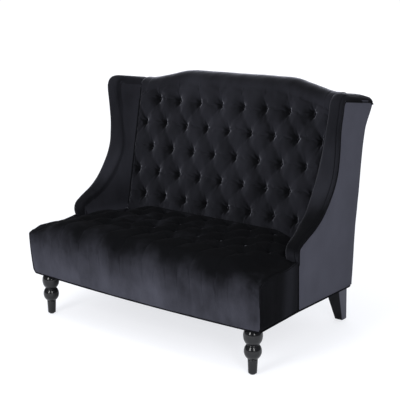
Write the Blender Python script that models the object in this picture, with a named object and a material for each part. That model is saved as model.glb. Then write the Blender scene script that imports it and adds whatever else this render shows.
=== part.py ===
"""A deep-buttoned wing loveseat: a hardwood frame on turned front legs, sprung, padded and covered in velvet.

X runs to the right of someone facing the seat, Y to the back, Z up. Depths are counted back from the
line that joins the seat's two front corners, and heights from the floor. All pieces are children of one
empty, which is moved at the end so that the origin lies on the floor under the middle of the loveseat.
"""

import math

import bmesh
import bpy
import numpy as np

# Clearances and cuts
gap = 0.0003
bend_gap = 0.0012
overrun = 0.05

# Angles above which an edge stays sharp
hard_edge_angle = math.radians(40)
turned_edge_angle = math.radians(50)
soft_edge_angle = math.radians(60)

# Overall form
leg_height = 0.184
seat_half_width = 0.600
base_half_width = seat_half_width - 0.014
wing_half_width = base_half_width + 0.038
arm_depth = 0.255
wing_height = 0.992
wing_rear_height = wing_height - 0.033
crest_height = 1.043
shoulder_height = crest_height - 0.051
crest_half_width = seat_half_width - 0.340
shoulder_half_width = seat_half_width - 0.080

# Rear outline of the loveseat, seen from the side: it bends in above the seat and leans back at the top
rear_base_depth = 0.705
rear_top_depth = 0.764
rear_line_height = wing_height - 0.020
rear_depth_shares = (0.0, -0.06, -0.15, -0.20, -0.09, 0.05, 0.21, 0.38, 1.0)
rear_height_shares = (0.0, 0.14, 0.27, 0.45, 0.58, 0.70, 0.80, 0.88, 1.0)
rear_corner_radius = 0.007
rear_corner_shares = (0.0, 0.3)

# Seat
seat_waist_half_width = seat_half_width - 0.017
seat_spread = 0.011
seat_bow = 0.020
seat_lean = 0.015
seat_corner_height = 0.372
seat_side_height = 0.399
seat_crown_height = 0.432
seat_edge_radius = 0.050
seat_corner_radius = 0.020
seat_corner_lift = 0.007
seat_side_roll = 0.150
seat_side_flat = 0.052
seat_side_depth_shares = (-0.06, 0.05, 0.19, 0.43, 0.58, 0.71, 0.88, 1.05)
seat_side_rise_shares = (0.0, 0.26, 0.50, 0.54, 0.43, 0.46, 0.70, 1.0)
seat_back_depth = 0.485
seat_junction_height = 0.436
seat_first_row_depth = 0.150
seat_row_pitch = 0.104
seat_rows = 4
seat_tuft_depth = 0.022
seat_end_shares = (0.36, 0.70, 0.92, 1.0)
seat_front_rise_shares = (0.0, 0.07, 0.37, 0.68)
seat_spread_rise_shares = (0.0, 0.07, 1.0)
seat_spread_shares = (0.0, 0.65, 1.0)
seat_brow_turn_shares = (0.30, 0.62)
seat_brow_share = 0.35
seat_crown_drop_share = 0.5
seat_front_fold_share = 0.4
seat_brow_fold_share = 0.6
seat_fold_softness_share = 0.7
seat_row_overhang_share = 0.4

# Back
back_recline = math.radians(14.9)
back_base_height = 0.3057
back_padding = 0.031
back_first_row_height = 0.491
back_row_pitch = 0.1065
back_rows = 5
back_tuft_depth = 0.032
back_pleat_reach = 0.045
back_roll_height = 0.055
back_rear_seam_drop = 0.075
back_roll_steps = 6
back_roll_fold_share = 0.25
back_roll_fullness_share = 0.8
back_tuck_share = 0.38
back_seam_share = 0.55
pleat_share = 0.35
button_columns = 8
button_side_margin = 0.128
button_pitch = (seat_half_width - button_side_margin) / (button_columns / 2)

# Wings
wing_front_depth = 0.520
wing_nose_rise = 0.046
wing_nose_height = seat_side_height + wing_nose_rise
wing_nose_drop = 0.0445
wing_corner_radius = 0.029
wing_swoop_depth_shares = (0.0, 0.166, 0.387, 0.546, 0.660, 0.779, 0.898, 0.970, 0.997, 1.008, 1.0, 1.0)
wing_swoop_height_shares = (0.0, 0.046, 0.101, 0.156, 0.211, 0.284, 0.376, 0.468, 0.560, 0.651, 0.800, 0.890)
wing_corner_shares = (0.40, 0.47, 0.75, 0.93)
wing_pad_reach_shares = (0.0, 1.0)
wing_flare_height_shares = (0.0, 0.35, 0.40, 0.52, 0.80, 0.88, 0.93, 1.0)
wing_flare_shares = (0.0, 0.38, 0.50, 0.60, 0.65, 0.76, 0.93, 1.0)
wing_inner_half_width = base_half_width - 0.103
wing_inner_slope = 0.066
band_width = 0.085
band_width_height_shares = (0.0, 0.046, 0.101, 0.156, 0.284, 0.376, 0.468, 0.560, 0.651, 0.743, 0.835, 1.0)
band_width_shares = (0.64, 0.65, 0.83, 0.87, 0.98, 1.0, 0.96, 0.88, 0.81, 0.72, 0.68, 0.68)
band_bulge = 0.020
band_steps = 10
band_top_shares = (0.4, 0.8, 1.0)
band_top_swell_shares = (1.0, 0.85, 0.40)
band_tip_share = 0.55
band_fullness_share = 0.75
panel_reach_shares = (0.0, 0.5, 1.0)

# Hardwood frame
board_thickness = 0.022
rail_height = 0.095
rail_setback = 0.008
panel_thickness = 0.015
frame_half_width = base_half_width - panel_thickness
post_depth = 0.045
back_skin = 0.009
top_rail_height = 0.080
lower_rail_base = 0.395
lower_rail_height = 0.060
centre_rail_height = 0.050
corner_block_side = 0.085
corner_block_height = 0.055
board_chamfer = 0.002

# Springing and padding
spring_wire_radius = 0.0019
spring_count = 5
spring_spacing = 0.190
spring_swing = 0.022
spring_pitch = 0.060
spring_arch = 0.012
deck_thickness = 0.003
web_width = 0.050
web_thickness = 0.0015
web_place_shares = (-0.63, -0.23, 0.23, 0.63)
foam_height = 0.054
foam_half_width = seat_half_width - 0.130
foam_front_depth = 0.045
foam_rear_depth = 0.440

# Trim under the upholstery
piping_radius = 0.003
dust_cover_thickness = 0.0012
trim_front_shares = (0.0, 0.35, 0.7, 0.97)
trim_corner_radius = 0.012
trim_arm_run = 0.045

# Front legs
front_leg_x = seat_half_width - 0.056
front_leg_depth = 0.040
bulb_radius = 0.037
bulb_height = 0.155
bulb_half_height = 0.0395
ball_radius = 0.034
ball_height = 0.086
ball_half_height = 0.0265
neck_radius = 0.0145
ankle_radius = 0.0200
collar_radius = 0.0160
bulb_steps = 9
ball_steps = 8
foot_radius = 0.0150
foot_chamfer = 0.003

# Rear legs
rear_leg_x = base_half_width - 0.046
rear_leg_depth = rear_base_depth - 0.055
rear_foot_x = rear_leg_x - 0.035
rear_foot_depth = rear_leg_depth + 0.114
rear_leg_half_side = 0.034
rear_foot_half_side = 0.018

# Leg fittings
plate_side = 0.056
plate_thickness = 0.003
bolt_radius = 0.003
bolt_grip = 0.030
bolt_clearance = 0.0003
glide_radius = 0.010
glide_thickness = 0.004

# Heights that follow from the sizes above
skirt_base = leg_height + 2 * piping_radius
rail_top = skirt_base + rail_height
plate_base = skirt_base - gap - plate_thickness
deck_base = rail_top + spring_arch + 3 * spring_wire_radius
cushion_base = deck_base + deck_thickness + gap
foam_top = cushion_base + foam_height
pad_half_width = frame_half_width - board_thickness

velvet = ("velvet", (0.030, 0.031, 0.038), 0.75, 0.0)
lacquer = ("black_lacquer", (0.010, 0.010, 0.011), 0.18, 0.0)
hardwood = ("frame_hardwood", (0.56, 0.40, 0.25), 0.60, 0.0)
plywood = ("frame_plywood", (0.66, 0.51, 0.34), 0.65, 0.0)
steel = ("zinc_plated_steel", (0.62, 0.63, 0.64), 0.35, 1.0)
spring_steel = ("spring_steel", (0.22, 0.23, 0.25), 0.40, 1.0)
foam = ("cushion_foam", (0.86, 0.80, 0.62), 0.90, 0.0)
webbing = ("jute_webbing", (0.46, 0.36, 0.22), 0.90, 0.0)
lining = ("black_lining", (0.025, 0.025, 0.027), 0.85, 0.0)
nylon = ("glide_nylon", (0.08, 0.08, 0.085), 0.55, 0.0)


def clear_scene():
    for thing in list(bpy.data.objects):
        bpy.data.objects.remove(thing, do_unlink=True)


def place_in_scene(name, data, carrier):
    """Links an object made of this mesh or curve, as a child of the carrier."""
    piece = bpy.data.objects.new(name, data)
    bpy.context.collection.objects.link(piece)
    piece.parent = carrier
    return piece


def coat(name, data, look):
    """Gives a mesh or curve its own material."""
    label, colour, roughness, metallic = look
    material = bpy.data.materials.new(f"{name}_{label}")
    material.use_nodes = True
    shader = material.node_tree.nodes["Principled BSDF"]
    shader.inputs["Base Color"].default_value = (*colour, 1.0)
    shader.inputs["Roughness"].default_value = roughness
    shader.inputs["Metallic"].default_value = metallic
    material.diffuse_color = (*colour, 1.0)
    data.materials.append(material)


def finish(name, mesh, look, carrier, sharp_angle=hard_edge_angle):
    """Makes the named object from its mesh, with its own material, as a child of the carrier."""
    coat(name, mesh, look)
    mesh.shade_smooth()
    mesh.set_sharp_from_angle(angle=sharp_angle)
    return place_in_scene(name, mesh, carrier)


def mesh_of(name, form):
    """The bmesh as a mesh whose faces point out."""
    bmesh.ops.recalc_face_normals(form, faces=form.faces)
    mesh = bpy.data.meshes.new(name)
    form.to_mesh(mesh)
    form.free()
    return mesh


def loft_form(rings):
    """A closed body through rings of equal count, with a flat cap on each end."""
    form = bmesh.new()
    rows = [[form.verts.new(point) for point in ring] for ring in rings]
    count = len(rows[0])
    for low, high in zip(rows, rows[1:]):
        for i in range(count):
            j = (i + 1) % count
            form.faces.new((low[i], low[j], high[j], high[i]))
    form.faces.new(rows[0])
    form.faces.new(rows[-1])
    return form


def loft(name, rings, look, carrier, sharp_angle=hard_edge_angle):
    return finish(name, mesh_of(name, loft_form(rings)), look, carrier, sharp_angle)


def box_rings(low, high):
    """The two rings of a box between two corners."""
    return [
        [(low[0], low[1], z), (high[0], low[1], z), (high[0], high[1], z), (low[0], high[1], z)]
        for z in (low[2], high[2])
    ]


def board(name, low, high, carrier, look=hardwood):
    """A planed board with its edges eased."""
    piece = loft(name, box_rings(low, high), look, carrier)
    bevel = piece.modifiers.new("eased_edges", "BEVEL")
    bevel.width = board_chamfer
    bevel.segments = 1
    return piece


def cutter(name, form, carrier):
    piece = place_in_scene(name, mesh_of(name, form), carrier)
    piece.hide_render = True
    piece.display_type = "WIRE"
    return piece


def cut(piece, tool):
    boolean = piece.modifiers.new(f"cut_{tool.name}", "BOOLEAN")
    boolean.operation = "DIFFERENCE"
    boolean.object = tool
    boolean.solver = "EXACT"


def cylinder_rings(x, depth, base, top, radius, sides=16):
    turns = [math.tau * i / sides for i in range(sides)]
    return [
        [(x + radius * math.cos(turn), depth + radius * math.sin(turn), z) for turn in turns]
        for z in (base, top)
    ]


def smooth_through(places, steps):
    """Points of a smooth curve through the places, with so many steps to each stretch."""
    places = [np.array(place, float) for place in places]
    padded = [2 * places[0] - places[1], *places, 2 * places[-1] - places[-2]]
    points = []
    for a, b, c, d in zip(padded, padded[1:], padded[2:], padded[3:]):
        for step in range(steps):
            t = step / steps
            bend = (2 * a - 5 * b + 4 * c - d) * t * t + (3 * b - a - 3 * c + d) * t ** 3
            points.append(b + ((c - a) * t + bend) / 2)
    points.append(places[-1])
    return np.array(points)


def ease(share):
    """Rises smoothly from 0 to 1."""
    share = min(max(share, 0.0), 1.0)
    return share * share * (3 - 2 * share)


rear_heights = [skirt_base + (rear_line_height - skirt_base) * share for share in rear_height_shares]
rear_depths = [rear_base_depth + (rear_top_depth - rear_base_depth) * share for share in rear_depth_shares]
swoop_places = [
    (
        arm_depth + (wing_front_depth - arm_depth) * reach,
        wing_nose_height + (wing_height - wing_nose_height) * rise,
    )
    for reach, rise in zip(wing_swoop_depth_shares, wing_swoop_height_shares)
]
swoop_curve = smooth_through(swoop_places, 2)


def rear_depth(z):
    """Depth of the outside back at a height: it runs on straight above the wings."""
    if z > rear_heights[-1]:
        run = rear_depths[-1] - rear_depths[-2]
        rise = rear_heights[-1] - rear_heights[-2]
        return rear_depths[-1] + (z - rear_heights[-1]) * run / rise
    return float(np.interp(z, rear_heights, rear_depths))


def rear_rows(low, high):
    """Heights from low to high with the bends of the rear outline between them."""
    return [low, *(z for z in rear_heights if low + gap < z < high - gap), high]


def rounded_rear_depth(z):
    """The outside back's depth with the corner at the bottom edge rounded in."""
    below = max(rear_corner_radius - (z - skirt_base), 0.0)
    return rear_depth(z) - rear_corner_radius + math.sqrt(rear_corner_radius ** 2 - below ** 2)


def frame_front_depth(z):
    """Depth of the front face of the back's frame members."""
    return rear_depth(z) - back_skin - post_depth


def frame_rear_depth(z):
    """Depth of their rear face, under the padding of the outside back."""
    return rear_depth(z) - back_skin


def camel_top(x):
    """Height of the back's top edge: level over the middle, easing down to the shoulders."""
    share = (abs(x) - crest_half_width) / (shoulder_half_width - crest_half_width)
    return crest_height - (crest_height - shoulder_height) * ease(share)


def camel_line(x):
    """The same edge as a line with a bend at each half of the button pitch."""
    half = button_pitch / 2
    low = math.floor(abs(x) / half) * half
    share = (abs(x) - low) / half
    return camel_top(low) * (1 - share) + camel_top(low + half) * share


def half_stations(end):
    """Places across the back at each half of the button pitch, out to an end."""
    half = button_pitch / 2
    inside = [half * i for i in range(1, int(end / half) + 1) if half * i < end - gap]
    return [-end, *(-x for x in reversed(inside)), 0.0, *inside, end]


def button_plane_depth(z):
    """Depth of the reclined plane that the back's buttons lie in."""
    surface = seat_back_depth + (z - seat_junction_height) * math.tan(back_recline)
    return surface + back_padding


def inner_half_width(z):
    """Half the width between the wings where the back meets them."""
    return wing_inner_half_width + (z - seat_junction_height) * wing_inner_slope


def outer_half_width(z):
    """Half the width over the outside panels at a height."""
    rise = (z - skirt_base) / (wing_height - skirt_base)
    share = float(np.interp(rise, wing_flare_height_shares, wing_flare_shares))
    return base_half_width + (wing_half_width - base_half_width) * share


def board_outer(z):
    """Half width over the wing boards and back posts, which flare with the outside panels."""
    return outer_half_width(z) - panel_thickness


def board_inner(z):
    return board_outer(z) - board_thickness


def band_width_at(z):
    """The rounded band's width at a height: widest where the wing swoops."""
    rise = (z - wing_nose_height) / (wing_height - wing_nose_height)
    return band_width * float(np.interp(rise, band_width_height_shares, band_width_shares))


def wing_front(z):
    """Depth of the wing's front seam at a height, with the top corner rounded."""
    if z <= swoop_curve[0][1]:
        return arm_depth
    depth = float(np.interp(z, swoop_curve[:, 1], swoop_curve[:, 0]))
    above = min(max(z - (wing_height - wing_corner_radius), 0.0), wing_corner_radius)
    return depth + wing_corner_radius - math.sqrt(wing_corner_radius ** 2 - above ** 2)


def wing_level(z, depth):
    """The height of a row at this depth: the wing's top slopes gently down to the back."""
    run = (depth - wing_front_depth) / (rear_top_depth - wing_front_depth)
    rise = ease((z - seat_junction_height) / (wing_height - seat_junction_height))
    return z - (wing_height - wing_rear_height) * min(max(run, 0.0), 1.0) * rise


def wing_seam_depth(z):
    """Depth of the corner where the back meets a wing's inner face; below the seat it stays put."""
    return button_plane_depth(max(z, wing_nose_height)) - back_padding


def wing_face(depth, z):
    """Half width of the inner face of a wing: it opens out from the back to the front seam."""
    level = max(z, wing_nose_height)
    front = wing_front(level)
    back = wing_seam_depth(z)
    splay = outer_half_width(level) - band_width_at(level) - inner_half_width(level)
    share = min(max((back - depth) / max(back - front, gap), 0.0), 1.0)
    return inner_half_width(z) + splay * share


def arm_face(depth, z):
    """The inner face of an arm, run on above its nose as one flat surface, for the seat to be cut to."""
    level = wing_nose_height
    share = (wing_seam_depth(level) - depth) / (wing_seam_depth(level) - wing_front(level))
    splay = outer_half_width(level) - band_width_at(level) - inner_half_width(level)
    return inner_half_width(z) + splay * min(max(share, 0.0), 1.0)


def levelled(z, depth_of, clearance):
    """Depth and height of a wing row's rear end, held clear of a surface."""
    level = wing_level(z, depth_of(z))
    return depth_of(level) - clearance, level


def tuft_height(u, v, rows):
    """Fullness from 0 in a button's pit to 1 on a diamond's crown. u counts columns, v rows.

    Beyond the first and last row the pleats run on straight, as channels."""
    inside = min(max(v, 0.0), rows - 1.0)
    lean = inside / 2
    across = abs(math.cos(math.pi * (u + lean)))
    along = abs(math.cos(math.pi * (u - lean)))
    pillow = math.sqrt(across * along)
    pleat = pleat_share * max(across, along)
    return min(pillow + pleat * (1 - pillow), 1.0)


def front_leg_profile():
    """Radius and height down the turned leg: bulb, neck, ball, ankle and tapered foot."""
    top = plate_base - gap
    profile = []
    low = math.acos(neck_radius / bulb_radius)
    high = math.asin((top - bulb_height) / bulb_half_height)
    for step in range(bulb_steps + 1):
        turn = high + (-low - high) * step / bulb_steps
        profile.append((bulb_radius * math.cos(turn), bulb_height + bulb_half_height * math.sin(turn)))
    upper = math.acos(neck_radius / ball_radius)
    lower = math.acos(collar_radius / ball_radius)
    for step in range(ball_steps + 1):
        turn = upper + (-lower - upper) * step / ball_steps
        profile.append((ball_radius * math.cos(turn), ball_height + ball_half_height * math.sin(turn)))
    collar = ball_height - ball_half_height
    foot = glide_thickness + gap
    profile.append((ankle_radius, collar))
    profile.append((ankle_radius, collar - foot_chamfer))
    profile.append((foot_radius, foot + foot_chamfer))
    profile.append((foot_radius - foot_chamfer, foot))
    return profile


def turned_form(profile, sides=24):
    """A solid turned about Z from a profile of radius and height that runs from top to bottom."""
    rings = [
        [
            (radius * math.cos(math.tau * i / sides), radius * math.sin(math.tau * i / sides), height)
            for i in range(sides)
        ]
        for radius, height in profile
    ]
    return loft_form(rings)


def add_front_leg(side, sign, carrier):
    name = f"front_leg_{side}"
    leg = finish(name, mesh_of(name, turned_form(front_leg_profile())), lacquer, carrier, turned_edge_angle)
    leg.location = (sign * front_leg_x, front_leg_depth, 0)
    return leg


def add_rear_leg(side, sign, carrier):
    """A square leg that tapers and rakes out behind the back."""
    top = plate_base - gap
    foot = glide_thickness + gap
    rings = []
    for z in (foot, top):
        rise = z / leg_height
        x = rear_foot_x + (rear_leg_x - rear_foot_x) * rise
        depth = rear_foot_depth + (rear_leg_depth - rear_foot_depth) * rise
        half = rear_foot_half_side + (rear_leg_half_side - rear_foot_half_side) * rise
        corners = ((-half, -half), (half, -half), (half, half), (-half, half))
        rings.append([(sign * x + dx, depth + dy, z) for dx, dy in corners])
    leg = loft(f"rear_leg_{side}", rings, lacquer, carrier)
    bevel = leg.modifiers.new("eased_edges", "BEVEL")
    bevel.width = board_chamfer
    bevel.segments = 2
    return leg


def add_fittings(place, x, depth, foot_x, foot_y, leg, block, carrier):
    """A leg's top plate, its hanger bolt through plate, leg and corner block, and its floor glide."""
    half = plate_side / 2
    plate_top = plate_base + plate_thickness
    rings = box_rings((x - half, depth - half, plate_base), (x + half, depth + half, plate_top))
    plate = loft(f"leg_plate_{place}", rings, steel, carrier)
    base = plate_base - bolt_grip
    top = plate_base + bolt_grip
    rings = cylinder_rings(x, depth, base, top, bolt_radius, 12)
    loft(f"leg_bolt_{place}", rings, steel, carrier)
    reach = bolt_radius + bolt_clearance
    rings = cylinder_rings(x, depth, base - gap, top + gap, reach, 12)
    hole = cutter(f"bolt_hole_{place}", loft_form(rings), carrier)
    cut(plate, hole)
    cut(leg, hole)
    cut(block, hole)
    rings = cylinder_rings(foot_x, foot_y, 0.0, glide_thickness, glide_radius, 20)
    loft(f"floor_glide_{place}", rings, nylon, carrier)
    return plate


def add_seat_frame(carrier):
    """Rails round the seat with a brace across, and a block in each corner."""
    inner = pad_half_width
    front = rail_setback
    behind = front + board_thickness
    rear = frame_rear_depth(rail_top)
    rear_front = rear - board_thickness
    wide = frame_half_width
    board("front_seat_rail", (-wide, front, skirt_base), (wide, behind, rail_top), carrier)
    post_front = frame_front_depth(rail_top) - gap
    for side, sign in (("left", -1), ("right", 1)):
        low = min(sign * inner, sign * frame_half_width)
        high = max(sign * inner, sign * frame_half_width)
        name = f"side_seat_rail_{side}"
        board(name, (low, behind + gap, skirt_base), (high, post_front, rail_top), carrier)
    across = inner - gap
    board("rear_seat_rail", (-across, rear_front, skirt_base), (across, rear, rail_top), carrier)
    half = board_thickness / 2
    low = (-half, behind + gap, skirt_base)
    high = (half, rear_front - gap, skirt_base + centre_rail_height)
    board("centre_seat_rail", low, high, carrier)
    blocks = {}
    top = skirt_base + corner_block_height
    for side, sign in (("left", -1), ("right", 1)):
        for end, wall, inward in (("front", behind + gap, 1), ("rear", rear_front - gap, -1)):
            x = sign * (inner - gap)
            reach_x = x - sign * corner_block_side
            reach_y = wall + inward * corner_block_side
            mid_x = x - sign * corner_block_side / 2
            mid_y = wall + inward * corner_block_side / 2
            outline = ((x, wall), (reach_x, wall), (reach_x, mid_y), (mid_x, reach_y), (x, reach_y))
            rings = [[(px, py, z) for px, py in outline] for z in (skirt_base, top)]
            name = f"corner_block_{end}_{side}"
            blocks[end, side] = loft(name, rings, hardwood, carrier)
    return blocks


def upright_rings(inner, outer, heights, front_of, rear_of):
    """Rings of an upright board between two half widths that follows the back's curve."""
    return [
        [(inner, front_of(z), z), (outer, front_of(z), z), (outer, rear_of(z), z), (inner, rear_of(z), z)]
        for z in heights
    ]


def add_back_frame(carrier):
    """Posts, a curved top rail, a lower rail and a centre stay, all set on edge."""
    top = shoulder_height - back_rear_seam_drop - gap
    heights = rear_rows(skirt_base, top)
    for side, sign in (("left", -1), ("right", 1)):
        rings = []
        for z in heights:
            near = sign * (board_inner(z) + bend_gap)
            far = sign * (board_outer(z) - bend_gap)
            front = frame_front_depth(z)
            rear = frame_rear_depth(z)
            rings.append([(near, front, z), (far, front, z), (far, rear, z), (near, rear, z)])
        loft(f"back_post_{side}", rings, hardwood, carrier)
    across = board_inner(shoulder_height - back_rear_seam_drop - top_rail_height) - gap
    rings = []
    for x in half_stations(across):
        high = camel_line(x) - back_rear_seam_drop - gap
        low = high - top_rail_height
        bend = min(max(rear_heights[-2], low + board_chamfer), high - board_chamfer)
        heights = (low, bend, high)
        ring = [(x, frame_front_depth(z) + bend_gap, z) for z in heights]
        ring += [(x, frame_rear_depth(z) - bend_gap, z) for z in reversed(heights)]
        rings.append(ring)
    loft("back_top_rail", rings, hardwood, carrier)
    low = lower_rail_base
    high = low + lower_rail_height
    across = board_inner(low) - gap
    rings = upright_rings(-across, across, rear_rows(low, high), frame_front_depth, frame_rear_depth)
    loft("back_lower_rail", rings, hardwood, carrier)
    half = board_thickness / 2
    head = crest_height - back_rear_seam_drop - top_rail_height - 2 * gap
    heights = rear_rows(high + gap, head)
    rings = upright_rings(-half, half, heights, frame_front_depth, frame_rear_depth)
    loft("back_centre_stay", rings, hardwood, carrier)


def add_back_webs(carrier):
    """Webbing straps stapled up the front of the back's rails."""

    def strap_rear(z):
        return frame_front_depth(z) - gap

    def strap_front(z):
        return strap_rear(z) - web_thickness

    for number, share in enumerate(web_place_shares, 1):
        x = frame_half_width * share
        low = lower_rail_base + lower_rail_height / 2
        high = camel_line(x) - back_rear_seam_drop - top_rail_height / 2
        heights = rear_rows(low, high)
        rings = upright_rings(x - web_width / 2, x + web_width / 2, heights, strap_front, strap_rear)
        loft(f"back_web_{number}", rings, webbing, carrier)


def add_springs(carrier):
    """Zigzag wire springs, stapled across from the front rail to the rear rail, each arched a little."""
    start = rail_setback + board_thickness / 2
    end = frame_rear_depth(rail_top) - board_thickness / 2
    turns = round((end - start) / spring_pitch)
    for number in range(spring_count):
        middle = (number - (spring_count - 1) / 2) * spring_spacing
        name = f"seat_spring_{number + 1}"
        curve = bpy.data.curves.new(name, "CURVE")
        curve.dimensions = "3D"
        curve.bevel_depth = spring_wire_radius
        curve.bevel_resolution = 0
        curve.use_fill_caps = True
        line = curve.splines.new("POLY")
        steps = turns * 4
        line.points.add(steps)
        for step in range(steps + 1):
            share = step / steps
            swing = spring_swing * math.sin(math.tau * turns * share + math.pi / 4)
            rise = spring_arch * math.sin(math.pi * share)
            height = rail_top + gap + spring_wire_radius + rise
            line.points[step].co = (middle + swing, start + (end - start) * share, height, 1.0)
        coat(name, curve, spring_steel)
        place_in_scene(name, curve, carrier)


def add_seat_fill(carrier):
    """The insulator deck on the springs and the firm foam slab on the deck."""
    across = pad_half_width - gap
    rear = frame_front_depth(deck_base) - gap
    low = (-across, rail_setback, deck_base)
    high = (across, rear, deck_base + deck_thickness)
    loft("seat_deck", box_rings(low, high), webbing, carrier)
    low = (-foam_half_width, foam_front_depth, cushion_base)
    high = (foam_half_width, foam_rear_depth, foam_top)
    loft("seat_foam", box_rings(low, high), foam, carrier)


def seat_half_width_at(depth, z):
    """Half the seat's width: it narrows to the arms and spreads a little upward."""
    share = min(max(depth / arm_depth, 0.0), 1.0)
    rise = (z - skirt_base) / (seat_corner_height - skirt_base)
    narrowing = (seat_half_width - seat_waist_half_width) * share * (1 - rise)
    spread = seat_spread * float(np.interp(rise, seat_spread_rise_shares, seat_spread_shares))
    return seat_half_width - narrowing + spread


def seat_front_at(x, rise):
    """Depth of the seat's bowed front at a share of its height."""
    bow = seat_bow * (1 - (x / seat_half_width) ** 2)
    return -bow - seat_lean * math.sin(rise * math.pi / 2)


def seat_stations():
    """Places across the seat: four to each button pitch, and closer at the ends."""
    quarter = button_pitch / 4
    half_count = 2 * button_columns
    inside = [quarter * i for i in range(-half_count, half_count + 1)]
    end = seat_half_width + seat_spread
    last = inside[-1]
    ends = [last + (end - last) * share for share in seat_end_shares]
    return [-x for x in reversed(ends)] + inside + ends


def seat_side_line(depth):
    """Height of the seat's top along its sides: it dips a little before the arm."""
    rise = float(np.interp(depth / arm_depth, seat_side_depth_shares, seat_side_rise_shares))
    return seat_corner_height + (seat_side_height - seat_corner_height) * rise


def seat_section(x):
    """One section of the seat from front bottom, over the crown, to rear bottom."""
    end = seat_half_width + seat_spread
    points = []
    fold_fade = ease((end - abs(x)) / button_pitch)
    u = x / button_pitch
    side_drop = ease((abs(x) - (end - seat_side_flat - seat_side_roll)) / seat_side_roll)
    radius = seat_edge_radius + (seat_corner_radius - seat_edge_radius) * side_drop
    crease = (1 - abs(math.cos(math.pi * u)) ** seat_fold_softness_share) * fold_fade
    for rise in seat_front_rise_shares:
        z = skirt_base + (seat_corner_height - radius * seat_brow_share - skirt_base) * rise
        fold = seat_tuft_depth * seat_front_fold_share * rise * crease
        points.append((x, seat_front_at(x, rise) + fold, z))
    brow_height = seat_crown_height - radius * seat_crown_drop_share
    corner = seat_corner_height + seat_corner_lift
    top = corner + (brow_height - corner) * (1 - side_drop)
    brow = seat_front_at(x, 1.0)
    base = points[-1][2]
    for turn_share in seat_brow_turn_shares:
        turn = turn_share * math.pi / 2
        depth = brow + radius * (1 - math.cos(turn))
        z = base + (top - base) * math.sin(turn)
        fold = seat_tuft_depth * seat_brow_fold_share * crease
        points.append((x, depth + fold * math.cos(turn), z - fold * math.sin(turn)))
    rows = [i / 2 for i in range(-1, 2 * seat_rows - 1)]
    tufted_half_width = button_pitch * (button_columns + seat_row_overhang_share) / 2
    rear = seat_back_depth - gap
    for v in rows:
        depth = seat_first_row_depth + seat_row_pitch * v
        if v == rows[0]:
            depth = radius + seat_brow_share * (seat_first_row_depth - radius)
        full = tuft_height(u, v, seat_rows) if abs(x) < tufted_half_width else 1.0
        crown = seat_crown_height + (seat_side_line(depth) - seat_crown_height) * side_drop
        points.append((x, depth, crown - seat_tuft_depth * (1 - full)))
    rear_top = seat_junction_height - (seat_junction_height - seat_side_height) * side_drop
    slope = math.tan(back_recline)
    for z in (rear_top, cushion_base, skirt_base):
        points.append((x, rear - (seat_junction_height - z) * slope, z))
    return points


def add_seat_cushion(carrier):
    """The buttoned seat: one cover from the bottom of the front, over the crown, to the back."""
    rings = []
    for x in seat_stations():
        ring = []
        for px, depth, z in seat_section(x):
            limit = seat_half_width_at(depth, min(z, seat_corner_height))
            ring.append((px * limit / (seat_half_width + seat_spread), depth, z))
        rings.append(ring)
    seat = loft("seat_cushion", rings, velvet, carrier, soft_edge_angle)
    inside = frame_half_width + gap
    front = rail_setback - gap
    rear = seat_back_depth + overrun
    rings = box_rings((-inside, front, leg_height - overrun), (inside, rear, cushion_base - gap))
    cut(seat, cutter("frame_space", loft_form(rings), carrier))
    low = (-foam_half_width - gap, foam_front_depth - gap, leg_height)
    high = (foam_half_width + gap, foam_rear_depth + gap, foam_top + gap)
    cut(seat, cutter("foam_space", loft_form(box_rings(low, high)), carrier))
    for side, sign in (("left", -1), ("right", 1)):
        rings = []
        for z in (leg_height - overrun, seat_crown_height + overrun):
            front = arm_depth - gap
            back = wing_seam_depth(wing_nose_height)
            near = arm_face(arm_depth, z) - gap
            far = arm_face(back, z) - gap
            wide = seat_half_width + overrun
            rear = seat_back_depth + overrun
            outline = ((near, front), (far, back), (far, rear), (wide, rear), (wide, front))
            rings.append([(sign * x, depth, z) for x, depth in outline])
        cut(seat, cutter(f"arm_space_{side}", loft_form(rings), carrier))
    return seat


def back_stations():
    """Places across the back: four to each button pitch, then the two seams at the wings."""
    quarter = button_pitch / 4
    half_count = 2 * button_columns
    inside = [quarter * i for i in range(-half_count, half_count + 1)]
    return [None, *inside, None]


def back_face_rows():
    """Heights of the rows up the back's buttoned face: four to each button pitch."""
    last_row = back_first_row_height + back_row_pitch * (back_rows - 1)
    heights = [back_base_height, seat_junction_height - back_row_pitch * back_tuck_share]
    heights.append(back_first_row_height - back_row_pitch * back_tuck_share)
    heights += [back_first_row_height + back_row_pitch * i / 4 for i in range(4 * (back_rows - 1) + 1)]
    return heights, last_row


def back_pleat_left(z):
    """Share of the pleats' depth that is left at a height over the last row of buttons."""
    last_row = back_first_row_height + (back_rows - 1) * back_row_pitch
    return 1 - ease(min(max((z - last_row) / back_pleat_reach, 0.0), 1.0))


def back_front_depth(u, z, seam):
    """Depth of the back's face: the reclined plane, less a pit at each button and a pleat between."""
    plane = button_plane_depth(z) - back_padding
    if z < seat_junction_height:
        return plane + gap
    if seam:
        return plane + back_padding * (1 - back_seam_share)
    full = tuft_height(u, (z - back_first_row_height) / back_row_pitch, back_rows)
    settle = ease((z - seat_junction_height) / (back_first_row_height - seat_junction_height))
    return plane + gap + back_tuft_depth * (1 - full) * settle * back_pleat_left(z)


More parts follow.
